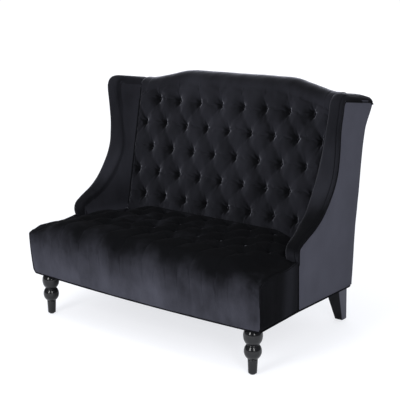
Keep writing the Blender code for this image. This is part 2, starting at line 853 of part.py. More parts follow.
def back_section(column, sign):
    """One section of the back from its bottom, up the buttoned face, over the roll and down behind."""
    place = 0.0 if column is None else column
    seam = column is None

    def x_at(z):
        return sign * (inner_half_width(z) - gap) if seam else place

    u = place / button_pitch
    high = camel_top(shoulder_half_width if seam else place)
    roll_base = high - back_roll_height
    heights, last_row = back_face_rows()
    heights += [(last_row + roll_base) / 2, roll_base]
    points = [(x_at(z), back_front_depth(u, z, seam), z) for z in heights]
    front = points[-1][1]
    rear = rear_depth(roll_base)
    middle = (front + rear) / 2
    half = (rear - front) / 2
    crease = 0.0 if seam else (1 - abs(math.cos(math.pi * u))) * back_pleat_left(roll_base)
    for step in range(1, back_roll_steps + 1):
        turn = math.pi * step / back_roll_steps
        fold = back_roll_fold_share * back_tuft_depth * crease * math.cos(turn / 2)
        z = roll_base + (back_roll_height - fold) * math.sin(turn) ** back_roll_fullness_share
        points.append((x_at(z), middle - half * math.cos(turn), z))
    end = inner_half_width(shoulder_height - back_rear_seam_drop)
    seam_height = camel_line(end if seam else place) - back_rear_seam_drop
    behind = gap + web_thickness + gap
    points.append((x_at(seam_height), rear_depth(seam_height), seam_height))
    bends = rear_rows(back_base_height, shoulder_height - back_rear_seam_drop)[:-1]
    for z in reversed([*bends, seam_height]):
        points.append((x_at(z), frame_front_depth(z) - behind, z))
    return points


def add_back_cushion(carrier):
    """The deep-buttoned back, which rolls over the top rail to a seam behind."""
    rings = []
    for number, column in enumerate(back_stations()):
        rings.append(back_section(column, -1 if number == 0 else 1))
    return loft("back_cushion", rings, velvet, carrier, soft_edge_angle)


def add_outside_back(carrier):
    """The plain rear panel, lightly padded, closed under the back's roll."""
    rings = []
    end = board_outer(shoulder_height)
    for x in half_stations(end):
        high = camel_line(x) - back_rear_seam_drop - gap
        corner = [skirt_base + rear_corner_radius * share for share in rear_corner_shares]
        bends = rear_rows(skirt_base + rear_corner_radius, shoulder_height - back_rear_seam_drop)[:-1]
        heights = [*bends, high]
        ring = [(x, rounded_rear_depth(z), z) for z in corner + heights]
        ring += [(x, frame_rear_depth(z) + gap, z) for z in reversed(heights)]
        ring.append((x, frame_rear_depth(skirt_base) + gap, skirt_base))
        if abs(x) == end:
            side = math.copysign(1, x)
            ring = [(side * (board_outer(z) - 2 * bend_gap), depth, z) for place, depth, z in ring]
        rings.append(ring)
    loft("outside_back_panel", rings, velvet, carrier)


def level_with(bend):
    """The row of a wing that reaches a bend of the rear outline at its rear end."""
    z = bend
    for settle in range(12):
        z = bend + z - wing_level(z, rear_depth(bend))
    return z


def wing_rows(base):
    """Heights of a wing's rows: level ones up the arm, then the swoop's own, closer round the corner."""
    corner = wing_height - wing_corner_radius
    arm = [float(z) for z in np.linspace(base, wing_nose_height, 4)[:-1]]
    swoop = [float(z) for depth, z in swoop_curve if z < corner - gap]
    bends = [level_with(z) for z in rear_heights if base < z < corner]
    corners = [corner, *(corner + wing_corner_radius * share for share in wing_corner_shares)]
    kept = bends + corners + [wing_height]
    for z in arm + swoop:
        if all(abs(z - other) > 2 * board_chamfer for other in kept):
            kept.append(z)
    return sorted(kept)


def under_band(z):
    """Depth and height of a wing row's front end, held clear of the band."""
    return wing_front(z) + gap, z - (gap if z > wing_nose_height else 0.0)


def add_wing_board(side, sign, carrier):
    """The plywood side that carries the wing, on the side rail and against the back post."""
    rings = []
    for row in wing_rows(rail_top + gap):
        front, z = under_band(row)
        inner = sign * board_inner(z)
        outer = sign * board_outer(z)
        rear, level = levelled(z, frame_front_depth, bend_gap)
        ahead = wing_level(z, front)
        ring = [(inner, front, ahead), (outer, front, ahead)]
        rings.append(ring + [(outer, rear, level), (inner, rear, level)])
    loft(f"wing_board_{side}", rings, plywood, carrier)


def add_wing_pad(side, sign, carrier):
    """The padded inner panel of a wing, from its front seam back to the post."""
    rings = []
    post_top = wing_height - wing_corner_radius * (1 - wing_corner_shares[0])
    for row in wing_rows(cushion_base + gap):
        front, z = under_band(row)
        if row > post_top + gap:
            rear, level = levelled(z, rear_depth, gap)
        else:
            rear, level = levelled(z, frame_front_depth, bend_gap)
        corner = wing_seam_depth(z)
        depths = [front + (corner - front) * share for share in wing_pad_reach_shares]
        ring = []
        for depth in depths:
            height = wing_level(z, depth)
            ring.append((sign * wing_face(depth, height), depth, height))
        ring.append((sign * wing_face(rear, level), rear, level))
        edge = sign * (board_inner(z) - gap)
        ring.append((edge, rear, level))
        ring.append((edge, front, wing_level(z, front)))
        rings.append(ring)
    loft(f"wing_pad_{side}", rings, velvet, carrier)


def add_outside_panel(side, sign, carrier):
    """The outside of an arm and wing in one panel, lightly padded over the board."""
    rings = []
    low = [skirt_base + rear_corner_radius * share for share in rear_corner_shares]
    for row in low + wing_rows(skirt_base + rear_corner_radius):
        front, z = under_band(row)
        rear, level = levelled(z, rounded_rear_depth, 0.0)
        wide = outer_half_width(z)
        inner = board_outer(z) + gap
        ring = []
        for share in panel_reach_shares:
            depth = front + (rear - front) * share
            ring.append((sign * wide, depth, wing_level(z, depth)))
        ring.append((sign * inner, rear, level))
        ring.append((sign * inner, front, wing_level(z, front)))
        rings.append(ring)
    loft(f"outside_panel_{side}", rings, velvet, carrier)


def band_path():
    """Depth and height along the wing's edge: up the nose, along the swoop, round the corner and back."""
    path = [(arm_depth, wing_nose_height - wing_nose_drop)]
    heights = [z for z in wing_rows(rail_top) if z > wing_nose_height - gap]
    path += [(wing_front(z), z) for z in heights]
    start = path[-1][0]
    for share in band_top_shares:
        path.append((start + (rear_depth(wing_rear_height) - gap - start) * share, wing_height))
    return [(depth, wing_level(z, depth)) for depth, z in path]


def add_wing_band(side, sign, carrier):
    """The rounded border over a wing's front and top edge, from its nose to the back."""
    path = np.array(band_path())
    tangents = np.gradient(path, axis=0)
    tangents /= np.linalg.norm(tangents, axis=1)[:, None]
    rings = []
    last = len(path) - 1
    swells = [band_tip_share, *[1.0] * (last - len(band_top_shares)), *band_top_swell_shares]
    for number, (spot, run) in enumerate(zip(path, tangents)):
        out = np.array([-run[1], run[0]])
        level = max(spot[1], wing_nose_height)
        outer = outer_half_width(level)
        inner = outer - band_width_at(level)
        ring = []
        for step in range(band_steps + 1):
            turn = math.pi * step / band_steps
            x = (outer + inner) / 2 - (outer - inner) / 2 * math.cos(turn)
            lift = band_bulge * swells[number] * math.sin(turn) ** band_fullness_share
            depth, z = spot + out * lift
            if number == last:
                depth = spot[0]
            ring.append((sign * x, depth, z))
        rings.append(ring)
    loft(f"wing_band_{side}", rings, velvet, carrier, soft_edge_angle)


def bottom_outline():
    """The upholstery's bottom edge in plan, half of it, from the front middle to the rear middle."""
    outline = []
    for share in trim_front_shares:
        x = seat_half_width * share
        outline.append((x, seat_front_at(x, 0.0)))
    outline.append((seat_half_width_at(0.0, skirt_base), trim_corner_radius))
    outline.append((seat_half_width_at(arm_depth, skirt_base), arm_depth))
    outline.append((base_half_width, arm_depth + trim_arm_run))
    rear = rounded_rear_depth(skirt_base)
    outline.append((base_half_width, rear - trim_corner_radius))
    outline.append((base_half_width - trim_corner_radius, rear))
    outline.append((0.0, rear))
    return outline


def inset_outline(outline, inset):
    """The closed outline from its right half, moved in by a distance."""
    full = outline + [(-x, depth) for x, depth in reversed(outline[1:-1])]
    moved = []
    count = len(full)
    for i in range(count):
        before = np.array(full[i - 1])
        here = np.array(full[i])
        after = np.array(full[(i + 1) % count])
        run = (after - before) / np.linalg.norm(after - before)
        moved.append(tuple(here + inset * np.array([-run[1], run[0]])))
    return moved


def add_bottom_trim(carrier):
    """The piping cord round the bottom edge and the lining stapled inside it."""
    ring = inset_outline(bottom_outline(), piping_radius)
    curve = bpy.data.curves.new("bottom_piping", "CURVE")
    curve.dimensions = "3D"
    curve.bevel_depth = piping_radius - gap
    curve.bevel_resolution = 1
    line = curve.splines.new("POLY")
    line.points.add(len(ring) - 1)
    for point, (x, depth) in zip(line.points, ring):
        point.co = (x, depth, leg_height + piping_radius, 1.0)
    line.use_cyclic_u = True
    coat("bottom_piping", curve, lining)
    place_in_scene("bottom_piping", curve, carrier)
    outline = inset_outline(bottom_outline(), 3 * piping_radius)
    top = skirt_base - gap
    rings = [[(x, depth, z) for x, depth in outline] for z in (top - dust_cover_thickness, top)]
    return loft("dust_cover", rings, lining, carrier)


def add_legs(blocks, cover, carrier):
    for side, sign in (("left", -1), ("right", 1)):
        front = add_front_leg(side, sign, carrier)
        rear = add_rear_leg(side, sign, carrier)
        x = sign * front_leg_x
        places = {
            "front": (x, front_leg_depth, x, front_leg_depth, front),
            "rear": (sign * rear_leg_x, rear_leg_depth, sign * rear_foot_x, rear_foot_depth, rear),
        }
        for end, (x, depth, foot_x, foot_y, leg) in places.items():
            place = f"{end}_{side}"
            add_fittings(place, x, depth, foot_x, foot_y, leg, blocks[end, side], carrier)
            half = plate_side / 2 + gap + (0 if end == "front" else rear_leg_half_side - plate_side / 2)
            low = (x - half, depth - half, leg_height - overrun)
            high = (x + half, depth + half, leg_height + overrun)
            hole = cutter(f"plate_space_{place}", loft_form(box_rings(low, high)), carrier)
            cut(cover, hole)


def centre_over_origin(carrier):
    """Moves the carrier so that the origin lies on the floor under the middle of the whole."""
    bpy.context.view_layer.update()
    depths = [
        (piece.matrix_world @ corner.co).y
        for piece in carrier.children
        if piece.type == "MESH" and not piece.hide_render
        for corner in piece.data.vertices
    ]
    carrier.location.y = -(min(depths) + max(depths)) / 2


def main():
    clear_scene()
    carrier = bpy.data.objects.new("loveseat", None)
    bpy.context.collection.objects.link(carrier)
    blocks = add_seat_frame(carrier)
    add_back_frame(carrier)
    add_back_webs(carrier)
    add_springs(carrier)
    add_seat_fill(carrier)
    add_seat_cushion(carrier)
    add_back_cushion(carrier)
    add_outside_back(carrier)
    for side, sign in (("left", -1), ("right", 1)):
        add_wing_board(side, sign, carrier)
        add_wing_pad(side, sign, carrier)
        add_outside_panel(side, sign, carrier)
        add_wing_band(side, sign, carrier)
    cover = add_bottom_trim(carrier)
    add_legs(blocks, cover, carrier)
    centre_over_origin(carrier)


main()
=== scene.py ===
"""The look of the wing loveseat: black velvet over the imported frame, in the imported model's own frame.

Depths in the functions are counted back from the line that joins the seat's two front corners, as in the
CAD part, and centre_shift moves them into the row frame.
"""

import math

import bpy
import numpy as np
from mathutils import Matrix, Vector


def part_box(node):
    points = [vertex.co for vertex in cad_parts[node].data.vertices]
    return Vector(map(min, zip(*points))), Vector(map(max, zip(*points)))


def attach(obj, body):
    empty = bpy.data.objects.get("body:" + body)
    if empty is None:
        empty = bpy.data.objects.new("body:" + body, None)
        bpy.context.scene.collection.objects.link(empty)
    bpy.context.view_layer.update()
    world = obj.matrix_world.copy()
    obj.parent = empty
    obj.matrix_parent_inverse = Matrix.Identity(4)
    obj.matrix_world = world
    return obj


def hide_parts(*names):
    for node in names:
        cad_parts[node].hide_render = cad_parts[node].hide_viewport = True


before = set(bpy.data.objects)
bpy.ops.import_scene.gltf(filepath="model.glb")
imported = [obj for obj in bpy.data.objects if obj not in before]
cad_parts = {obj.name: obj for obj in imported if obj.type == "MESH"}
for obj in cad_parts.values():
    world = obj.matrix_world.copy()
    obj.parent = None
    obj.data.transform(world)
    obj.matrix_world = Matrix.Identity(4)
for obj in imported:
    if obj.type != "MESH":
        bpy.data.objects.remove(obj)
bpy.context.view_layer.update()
rng = np.random.default_rng(11)
both_sides = (("left", -1), ("right", 1))

# Sizes in metres, with the counts and shares that go with them. Most sizes are the CAD part's own, and
# the others fit the fabric to the photograph.
rail_setback = 0.008
leg_height = 0.184
arm_depth = 0.260
arm_seam_lean = 0.025
arm_seam_top = 0.392
seat_half_width = 0.600
base_half_width = 0.586
wing_half_width = 0.624
wing_height = 0.992
wing_rear_height = 0.963
crest_height = 1.043
shoulder_height = 0.992
crest_half_width = 0.260
shoulder_half_width = 0.520
skirt_base = 0.190
skirt_hang = 0.004
rear_base_depth = 0.705
rear_top_depth = 0.764
rear_line_height = 0.972
seat_spread = 0.011
seat_arm_setback = -0.0008
seat_bow = 0.020
seat_lean = 0.015
seat_corner_height = 0.372
seat_side_height = 0.399
left_seat_lift = 0.007
seat_crown_height = 0.432
seat_side_roll = 0.150
seat_side_flat = 0.038
seat_middle = 0.51
seat_crowd = 0.5
seat_channel_depth = 0.0050
seat_channel_reach = 0.17
seat_crease_depth = 0.0010
seat_crease_width = 0.008
seat_row_steps = 22
brow_reach = (0.075, 0.030)
brow_rise = (0.062, 0.026)
seat_back_depth = 0.485
seat_junction_height = 0.436
seat_first_row_depth = 0.150
seat_row_pitch = 0.104
seat_rows = 4
back_recline = math.radians(14.9)
back_middle = 0.472
back_crowd = 0.55
back_row_steps = 26
shoulder_fill = 0.006
back_pit_shift = (0.0105, -0.0045)
back_hidden_heights = (0.400, 0.415)
back_face_start = 0.430
back_face_step = 0.0035
back_seam_heights = (0.43, 0.97)
back_first_row_height = 0.491
back_row_pitch = 0.1065
back_rows = 5
back_roll_height = 0.055
back_rear_seam_drop = 0.075
button_pitch = 0.118
button_hold = 0.013
pleat_reach = 0.032
pucker_ring = 0.017
pucker_width = 0.010
lid_place = (0.006, 0.011)
lid_size = (0.0040, 0.010)
button_radius = 0.0075
button_height = 0.0045
back_button_sink = 0.0290
seat_button_sink = 0.0175
wing_front_depth = 0.520
wing_nose_height = 0.445
wing_nose_drop = 0.061
wing_corner_radius = 0.029
wing_tip_radius = 0.018
wing_inner_half_width = 0.483
wing_inner_slope = 0.066
band_width = 0.085
band_bulge = 0.0235
stitch_inset = 0.0095
top_overlap = 0.007
inner_puff = 0.005
outer_puff = 0.0030
seat_side_puff = 0.0020
panel_inset = 0.0008
panel_corner = 0.004
panel_tuck = 0.010
rear_tuck = 0.008
rear_seam_half_width = 0.512
cloth_thickness = 0.003
crumple = 0.0010
welt_radius = 0.0024
corner_welt_radius = 0.0020
seam_radius = 0.0026
stitch_radius = 0.0012
piping_radius = 0.0032
front_leg_x = 0.544
front_leg_depth = 0.040
leg_top = 0.1864
bulb_radius = 0.0372
bulb_height = 0.155
bulb_half_height = 0.0395

# Profiles as shares: how far along or wide, and how far up
rear_depth_table = (0.0, -0.06, -0.15, -0.20, -0.09, 0.05, 0.21, 0.38, 1.0)
rear_height_table = (0.0, 0.14, 0.27, 0.45, 0.58, 0.70, 0.80, 0.88, 1.0)
swoop_depth_table = (0.0, 0.166, 0.387, 0.546, 0.660, 0.779, 0.898, 0.970, 0.997, 1.008, 1.0, 1.0)
swoop_height_table = (0.0, 0.046, 0.101, 0.156, 0.211, 0.284, 0.376, 0.468, 0.560, 0.651, 0.800, 0.890)
flare_height_table = (0.0, 0.35, 0.40, 0.52, 0.80, 0.88, 0.93, 1.0)
flare_table = (0.0, 0.38, 0.50, 0.60, 0.65, 0.76, 0.93, 1.0)
band_height_table = (0.0, 0.046, 0.101, 0.156, 0.284, 0.376, 0.468, 0.560, 0.651, 0.743, 0.835, 1.0)
band_width_table = (0.64, 0.65, 0.83, 0.87, 0.98, 1.0, 0.96, 0.88, 0.81, 0.72, 0.68, 0.68)
side_depth_table = (-0.06, 0.05, 0.19, 0.43, 0.58, 0.71, 0.88, 1.05)
side_rise_table = (0.0, 0.26, 0.50, 0.54, 0.43, 0.46, 0.70, 1.0)

# The turned leg as radius and height, measured in the photograph
leg_bulb_table = (
    (0.0372, 0.1550), (0.0371, 0.1500), (0.0366, 0.1455), (0.0359, 0.1410), (0.0348, 0.1370),
    (0.0333, 0.1330), (0.0312, 0.1290), (0.0286, 0.1250), (0.0258, 0.1215), (0.0238, 0.1190),
)
leg_ball_table = (
    (0.0238, 0.1180), (0.0262, 0.1150), (0.0288, 0.1112), (0.0312, 0.1065), (0.0328, 0.1020),
    (0.0337, 0.0975), (0.0340, 0.0930), (0.0339, 0.0885), (0.0333, 0.0840), (0.0321, 0.0795),
    (0.0303, 0.0752), (0.0278, 0.0710), (0.0248, 0.0672), (0.0216, 0.0638), (0.0186, 0.0606),
)
leg_foot_table = ((0.0194, 0.0592), (0.0170, 0.0073))
leg_tip = ((0.0164, 0.0052), (0.0142, 0.0043))

centre_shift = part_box("front_seat_rail")[0][1] - rail_setback

# The camera that was fitted to the photograph
camera_place = (2.4502, -2.7031, 1.4391)
camera_azimuth = math.radians(38.1838)
camera_pitch = math.radians(12.9909)
focal_pixels = 950.99
sensor = 36.0
photo_side = 400

# How the covers' cloth is solved
cloth_frames = 20
cloth_cap = 0.005
cloth_settings = {
    "quality": 5, "mass": 0.4, "tension_stiffness": 12, "compression_stiffness": 12, "shear_stiffness": 5,
    "bending_stiffness": 0.4, "vertex_group_mass": "held", "use_pressure": True,
}


# Shape functions, on arrays


def ease(share):
    """A smooth step from 0 to 1."""
    share = np.clip(share, 0.0, 1.0)
    return share * share * (3 - 2 * share)


def smooth_table(places, steps=8):
    """Points of a smooth curve through the places."""
    places = np.array(places, float)
    padded = np.vstack([2 * places[0] - places[1], places, 2 * places[-1] - places[-2]])
    points = []
    for a, b, c, d in zip(padded, padded[1:], padded[2:], padded[3:]):
        for step in range(steps):
            t = step / steps
            bend = (2 * a - 5 * b + 4 * c - d) * t * t + (3 * b - a - 3 * c + d) * t**3
            points.append(b + ((c - a) * t + bend) / 2)
    points.append(places[-1])
    return np.array(points)


def curve_of(places):
    """A function through the places, from the second column to the first."""
    table = smooth_table(places)
    keys = np.maximum.accumulate(table[:, 1] + 1e-7 * np.arange(len(table)))

    def read(key):
        return np.interp(key, keys, table[:, 0])

    return read


def scaled(shares, low, high):
    return [low + (high - low) * share for share in shares]


rear_line = curve_of(list(zip(
    scaled(rear_depth_table, rear_base_depth, rear_top_depth),
    scaled(rear_height_table, skirt_base, rear_line_height),
)))
swoop_line = curve_of(list(zip(
    scaled(swoop_depth_table, arm_depth, wing_front_depth),
    scaled(swoop_height_table, wing_nose_height, wing_height),
)))
rear_slope = (rear_line(rear_line_height) - rear_line(rear_line_height - 0.02)) / 0.02


def rear_depth(z):
    """Depth of the rear outline, which goes straight on above its last measured point."""
    return rear_line(z) + np.maximum(z - rear_line_height, 0.0) * rear_slope


def outer_half_width(z):
    """Half the width over the outside panels, which flare out toward the top."""
    rise = (z - skirt_base) / (wing_height - skirt_base)
    share = (np.interp(rise - 0.02, flare_height_table, flare_table)
             + np.interp(rise + 0.02, flare_height_table, flare_table)) / 2
    return base_half_width + (wing_half_width - base_half_width) * share


def inner_half_width(z):
    """Half the width between the wings where they meet the back."""
    return wing_inner_half_width + (z - seat_junction_height) * wing_inner_slope


def band_width_at(z):
    rise = (z - wing_nose_height) / (wing_height - wing_nose_height)
    return band_width * np.interp(rise, band_height_table, band_width_table)


def seam_depth(z):
    """Depth of the seam between the seat's side and the arm, which leans forward on its way up."""
    return arm_depth + arm_seam_lean * np.clip((arm_seam_top - z) / (arm_seam_top - skirt_base), 0.0, 1.0)


def wing_front(z):
    """Depth of the front edge of an arm and wing, rounded off at its top corner."""
    depth = np.where(z <= wing_nose_height, seam_depth(z), swoop_line(z))
    above = np.clip(z - (wing_height - wing_corner_radius), 0.0, wing_corner_radius)
    return depth + wing_corner_radius - np.sqrt(wing_corner_radius**2 - above**2)


def wing_level(z, depth):
    """Height on a wing, which drops a little toward its rear."""
    run = np.clip((depth - wing_front_depth) / (rear_top_depth - wing_front_depth), 0.0, 1.0)
    rise = ease((z - seat_junction_height) / (wing_height - seat_junction_height))
    return z - (wing_height - wing_rear_height) * run * rise


def tip_rounding(z):
    """How far a wing's rear end is cut back at this level, to round its tip."""
    above = np.clip(z - (wing_height - wing_tip_radius), 0.0, wing_tip_radius)
    return wing_tip_radius - np.sqrt(wing_tip_radius**2 - above**2)


def surface_depth(z):
    """Depth of the reclined plane that the back's crowns touch."""
    return seat_back_depth + (z - seat_junction_height) * math.tan(back_recline)


def wing_face(depth, z):
    """Half the width between the wings' inner faces, which splay toward the front."""
    level = np.maximum(z, wing_nose_height)
    front = wing_front(level)
    back = surface_depth(level)
    splay = outer_half_width(level) - band_width_at(level) - inner_half_width(level)
    share = np.clip((back - depth) / np.maximum(back - front, 0.001), 0.0, 1.0)
    return inner_half_width(z) + splay * share


def camel_top(x):
    """Height of the back's top: a flat crest that falls to a shoulder on each side."""
    share = (np.abs(x) - crest_half_width) / (shoulder_half_width - crest_half_width)
    return crest_height - (crest_height - shoulder_height) * ease(share)


def seat_side_line(depth, left=0.0):
    """Height of the edge at the seat's ends, where left is 1 at the left end and 0 at the right one."""
    rise = np.interp(depth / arm_depth, side_depth_table, side_rise_table)
    lift = left_seat_lift * left * ease(depth / 0.05)
    return seat_corner_height + (seat_side_height - seat_corner_height) * rise + lift


def seat_width_at(depth, z):
    """Half the seat's width: it spreads a little upward, and narrows to the arm's outside panel."""
    rise = np.clip((z - skirt_base) / (seat_corner_height - skirt_base), 0, 1)
    spread = seat_spread * np.interp(rise, (0.0, 0.07, 1.0), (0.0, 0.65, 1.0))
    front = seat_half_width + spread
    share = np.clip(depth / seam_depth(z), 0, 1)
    return front + (outer_half_width(z) - seat_arm_setback - front) * share


# Making meshes


def add_object(name, data):
    """A new object in the scene."""
    thing = bpy.data.objects.new(name, data)
    bpy.context.collection.objects.link(thing)
    return thing


def mesh_piece(name, points, faces, material, nodes=(), outward=None):
    """A piece from points in the fit frame, moved into the row frame, with its faces turned outward."""
    points = np.array(points, float)
    points[:, 1] += centre_shift
    mesh = bpy.data.meshes.new(name)
    mesh.from_pydata(points.tolist(), [], [list(map(int, face)) for face in faces])
    if outward is not None:
        facing = sum(polygon.normal.dot(Vector(outward)) * polygon.area for polygon in mesh.polygons)
        if facing < 0:
            mesh.flip_normals()
    mesh.materials.append(material)
    mesh.shade_smooth()
    mesh.update()
    piece = add_object(name, mesh)
    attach(piece, "root")
    if nodes:
        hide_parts(*nodes)
    return piece


def grid_faces(rows, columns, wrap=False, start=0):
    faces = []
    for i in range(rows - 1):
        for j in range(columns if wrap else columns - 1):
            k = (j + 1) % columns
            faces.append((start + i * columns + j, start + i * columns + k,
                          start + (i + 1) * columns + k, start + (i + 1) * columns + j))
    return faces


def grid_normals(points):
    """Unit normals of a grid of points, by differences."""
    along = np.gradient(points, axis=0)
    across = np.gradient(points, axis=1)
    normal = np.cross(across, along)
    return normal / (np.linalg.norm(normal, axis=2)[..., None] + 1e-12)


def grid_piece(name, points, material, outward, nodes=()):
    """A sheet from a grid of points, as thick as the cloth."""
    faces = grid_faces(*points.shape[:2])
    piece = mesh_piece(name, points.reshape(-1, 3), faces, material, nodes, outward=outward)
    solid = piece.modifiers.new("cloth_edge", "SOLIDIFY")
    solid.thickness = cloth_thickness
    solid.offset = -1.0
    return piece


def warped(share, crowd):
    """Even steps crowded toward whole numbers."""
    return share - crowd * np.sin(math.tau * share) / math.tau


def tube_piece(name, path, radius, nodes=(), sides=8, closed=False):
    """A cord or welt along a path of points, in velvet painted darker than the covers: the cords and welts
    are real, and their dark tone is painted shade of the seams and edges that they lie in.
    """
    path = np.array(path, float)
    count = len(path)
    if closed:
        tangent = np.roll(path, -1, axis=0) - np.roll(path, 1, axis=0)
    else:
        tangent = np.gradient(path, axis=0)
    tangent /= np.linalg.norm(tangent, axis=1)[:, None]
    guide = np.array([0.0, 0.0, 1.0]) if abs(tangent[:, 2]).mean() < 0.6 else np.array([1.0, 0.0, 0.0])
    side = np.cross(tangent, guide)
    side /= np.linalg.norm(side, axis=1)[:, None]
    up = np.cross(side, tangent)
    turns = [math.tau * j / sides for j in range(sides)]
    strands = [path + radius * (side * math.cos(turn) + up * math.sin(turn)) for turn in turns]
    faces = grid_faces(count, sides, wrap=True)
    last = (count - 1) * sides
    if closed:
        faces += [(last + j, last + (j + 1) % sides, (j + 1) % sides, j) for j in range(sides)]
    else:
        faces.append(tuple(range(sides))[::-1])
        faces.append(tuple(last + j for j in range(sides)))
    return mesh_piece(name, np.stack(strands, axis=1).reshape(-1, 3), faces, velvet_shaded_cord, nodes)


def soft_noise(points, size, seed):
    """Smooth seeded noise on a grid of points, as a sum of waves of about this size."""
    wave = np.random.default_rng(seed)
    flat = points.reshape(-1, 3)
    total = np.zeros(len(flat))
    for octave in range(3):
        for _ in range(6):
            direction = wave.normal(size=3)
            direction /= np.linalg.norm(direction)
            phase = wave.uniform(0, math.tau)
            total += np.sin(flat @ direction * math.tau / size * (1.6**octave) + phase) / (1.5**octave)
    return (total / 6).reshape(points.shape[:2])


def roughened(rows, axis, height, size, seed, stretch=(1, 1, 1)):
    """A grid from its rows, moved along an axis by soft noise of this height."""
    grid = np.array(rows)
    grid[..., axis] += height * soft_noise(grid * stretch, size, seed)
    return grid


# Materials


def add_node(nodes, kind, **values):
    """A new node with these values on its inputs."""
    node = nodes.new(kind)
    set_inputs(node, **values)
    return node


def set_inputs(node, **values):
    """Puts values on a node's inputs, whose names are written with _ for a blank."""
    for name, value in values.items():
        node.inputs[name.replace("_", " ")].default_value = value


def node_material(name, rough, metallic=0.0):
    material = bpy.data.materials.new(name)
    material.use_nodes = True
    nodes = material.node_tree.nodes
    shader = nodes["Principled BSDF"]
    set_inputs(shader, Roughness=rough, Metallic=metallic)
    return material, nodes, material.node_tree.links, shader


def object_noise(nodes, links, place, stretch=None, **values):
    """Noise on object coordinates, which are stretched first if a stretch is given."""
    vector = place.outputs["Object"]
    if stretch:
        mapping = add_node(nodes, "ShaderNodeMapping", Scale=stretch)
        links.new(vector, mapping.inputs["Vector"])
        vector = mapping.outputs["Vector"]
    noise = add_node(nodes, "ShaderNodeTexNoise", **values)
    links.new(vector, noise.inputs["Vector"])
    return noise.outputs["Fac"]


def colour_by(nodes, links, value, shader, tones, ends):
    """Colours a shader from the first tone to the second as a value goes from one end to the other."""
    ramp = nodes.new("ShaderNodeValToRGB")
    for element, tone, end in zip(ramp.color_ramp.elements, tones, ends):
        element.position = end
        element.color = (*tone, 1)
    links.new(value, ramp.inputs["Fac"])
    links.new(ramp.outputs["Color"], shader.inputs["Base Color"])
    return ramp


def add_relief(nodes, links, height, shader, strength, distance):
    bump = add_node(nodes, "ShaderNodeBump", Strength=strength, Distance=distance)
    links.new(height, bump.inputs["Height"])
    links.new(bump.outputs["Normal"], shader.inputs["Normal"])


def mottled(name, dark, light, rough, scale=40.0, stretch=(1, 1, 1), metallic=0.0, bump=0.0, coat=0.0,
            specular=0.5):
    """A surface whose colour wanders between two tones with a fine relief."""
    material, nodes, links, shader = node_material(name, rough, metallic)
    set_inputs(shader, Coat_Weight=coat, Coat_Roughness=0.04, Specular_IOR_Level=specular)
    place = nodes.new("ShaderNodeTexCoord")
    noise = object_noise(nodes, links, place, stretch, Scale=scale, Detail=4.0)
    colour_by(nodes, links, noise, shader, (dark, light), (0.35, 0.65))
    if bump:
        add_relief(nodes, links, noise, shader, bump, 0.001)
    return material


def wander(nodes, links, noise, middle, width):
    """A value that wanders with the noise, mostly this wide, about the middle."""
    spread = add_node(nodes, "ShaderNodeMapRange", From_Min=0.3, From_Max=0.7,
                      To_Min=middle - width / 2, To_Max=middle + width / 2)
    spread.clamp = False
    links.new(noise, spread.inputs["Value"])
    return spread.outputs["Result"]


def velvet(name, level, streak=0.1, streak_scale=7.0, stretch=(1, 1, 0.25), terms=(), painted_light_toward=(0, 0, 0),
           sheen=0.5, sheen_rough=0.3, pile=0.35, blotch=0.0, blotch_scale=4.0, eased=False):
    """Short-pile velvet, from night to dusk as its level goes from 0 to 1.

    Each term is (axis, from, to, weight): it adds its weight as that coordinate goes from the first to the
    second. Slopes that face the given direction vector are painted lighter, by its length, and slopes turned
    away darker: painted sheen and shade. The velvet is black all over, so its level, terms and this facing
    paint the light and shade of each piece into the base colour; the streaks and blotches are its own random
    tone."""
    material, nodes, links, shader = node_material(name, 0.95)
    set_inputs(shader, Specular_IOR_Level=0.04, Sheen_Weight=sheen, Sheen_Roughness=sheen_rough,
               Sheen_Tint=(*sheen_tint, 1))
    place = nodes.new("ShaderNodeTexCoord")
    noise = object_noise(nodes, links, place, stretch, Scale=streak_scale, Detail=5.0, Roughness=0.6)
    value = wander(nodes, links, noise, level, streak)

    def add(extra):
        total = nodes.new("ShaderNodeMath")
        total.operation = "ADD"
        links.new(value, total.inputs[0])
        links.new(extra, total.inputs[1])
        return total.outputs["Value"]

    if blotch:
        patches = object_noise(nodes, links, place, Scale=blotch_scale, Detail=3.0)
        value = add(wander(nodes, links, patches, 0.0, blotch))
    if terms:
        split = nodes.new("ShaderNodeSeparateXYZ")
        links.new(place.outputs["Object"], split.inputs["Vector"])
    for axis, start, end, weight in terms:
        rise = add_node(nodes, "ShaderNodeMapRange", From_Min=start, From_Max=end, To_Min=0.0, To_Max=weight)
        rise.interpolation_type = "SMOOTHSTEP"
        links.new(split.outputs[axis], rise.inputs["Value"])
        value = add(rise.outputs["Result"])
    # Painted light and shade: slopes that face the given direction get a lighter base colour, those turned
    # away a darker one.
    if any(painted_light_toward):
        painted_facing = nodes.new("ShaderNodeVectorMath")
        painted_facing.operation = "DOT_PRODUCT"
        painted_facing.inputs[1].default_value = painted_light_toward
        links.new(place.outputs["Normal"], painted_facing.inputs[0])
        value = add(painted_facing.outputs["Value"])
    ramp = colour_by(nodes, links, value, shader, (night, dusk), (0.0, 1.0))
    if eased:
        ramp.color_ramp.interpolation = "EASE"
    fine = object_noise(nodes, links, place, Scale=700.0, Detail=2.0)
    add_relief(nodes, links, fine, shader, pile, 0.0006)
    return material
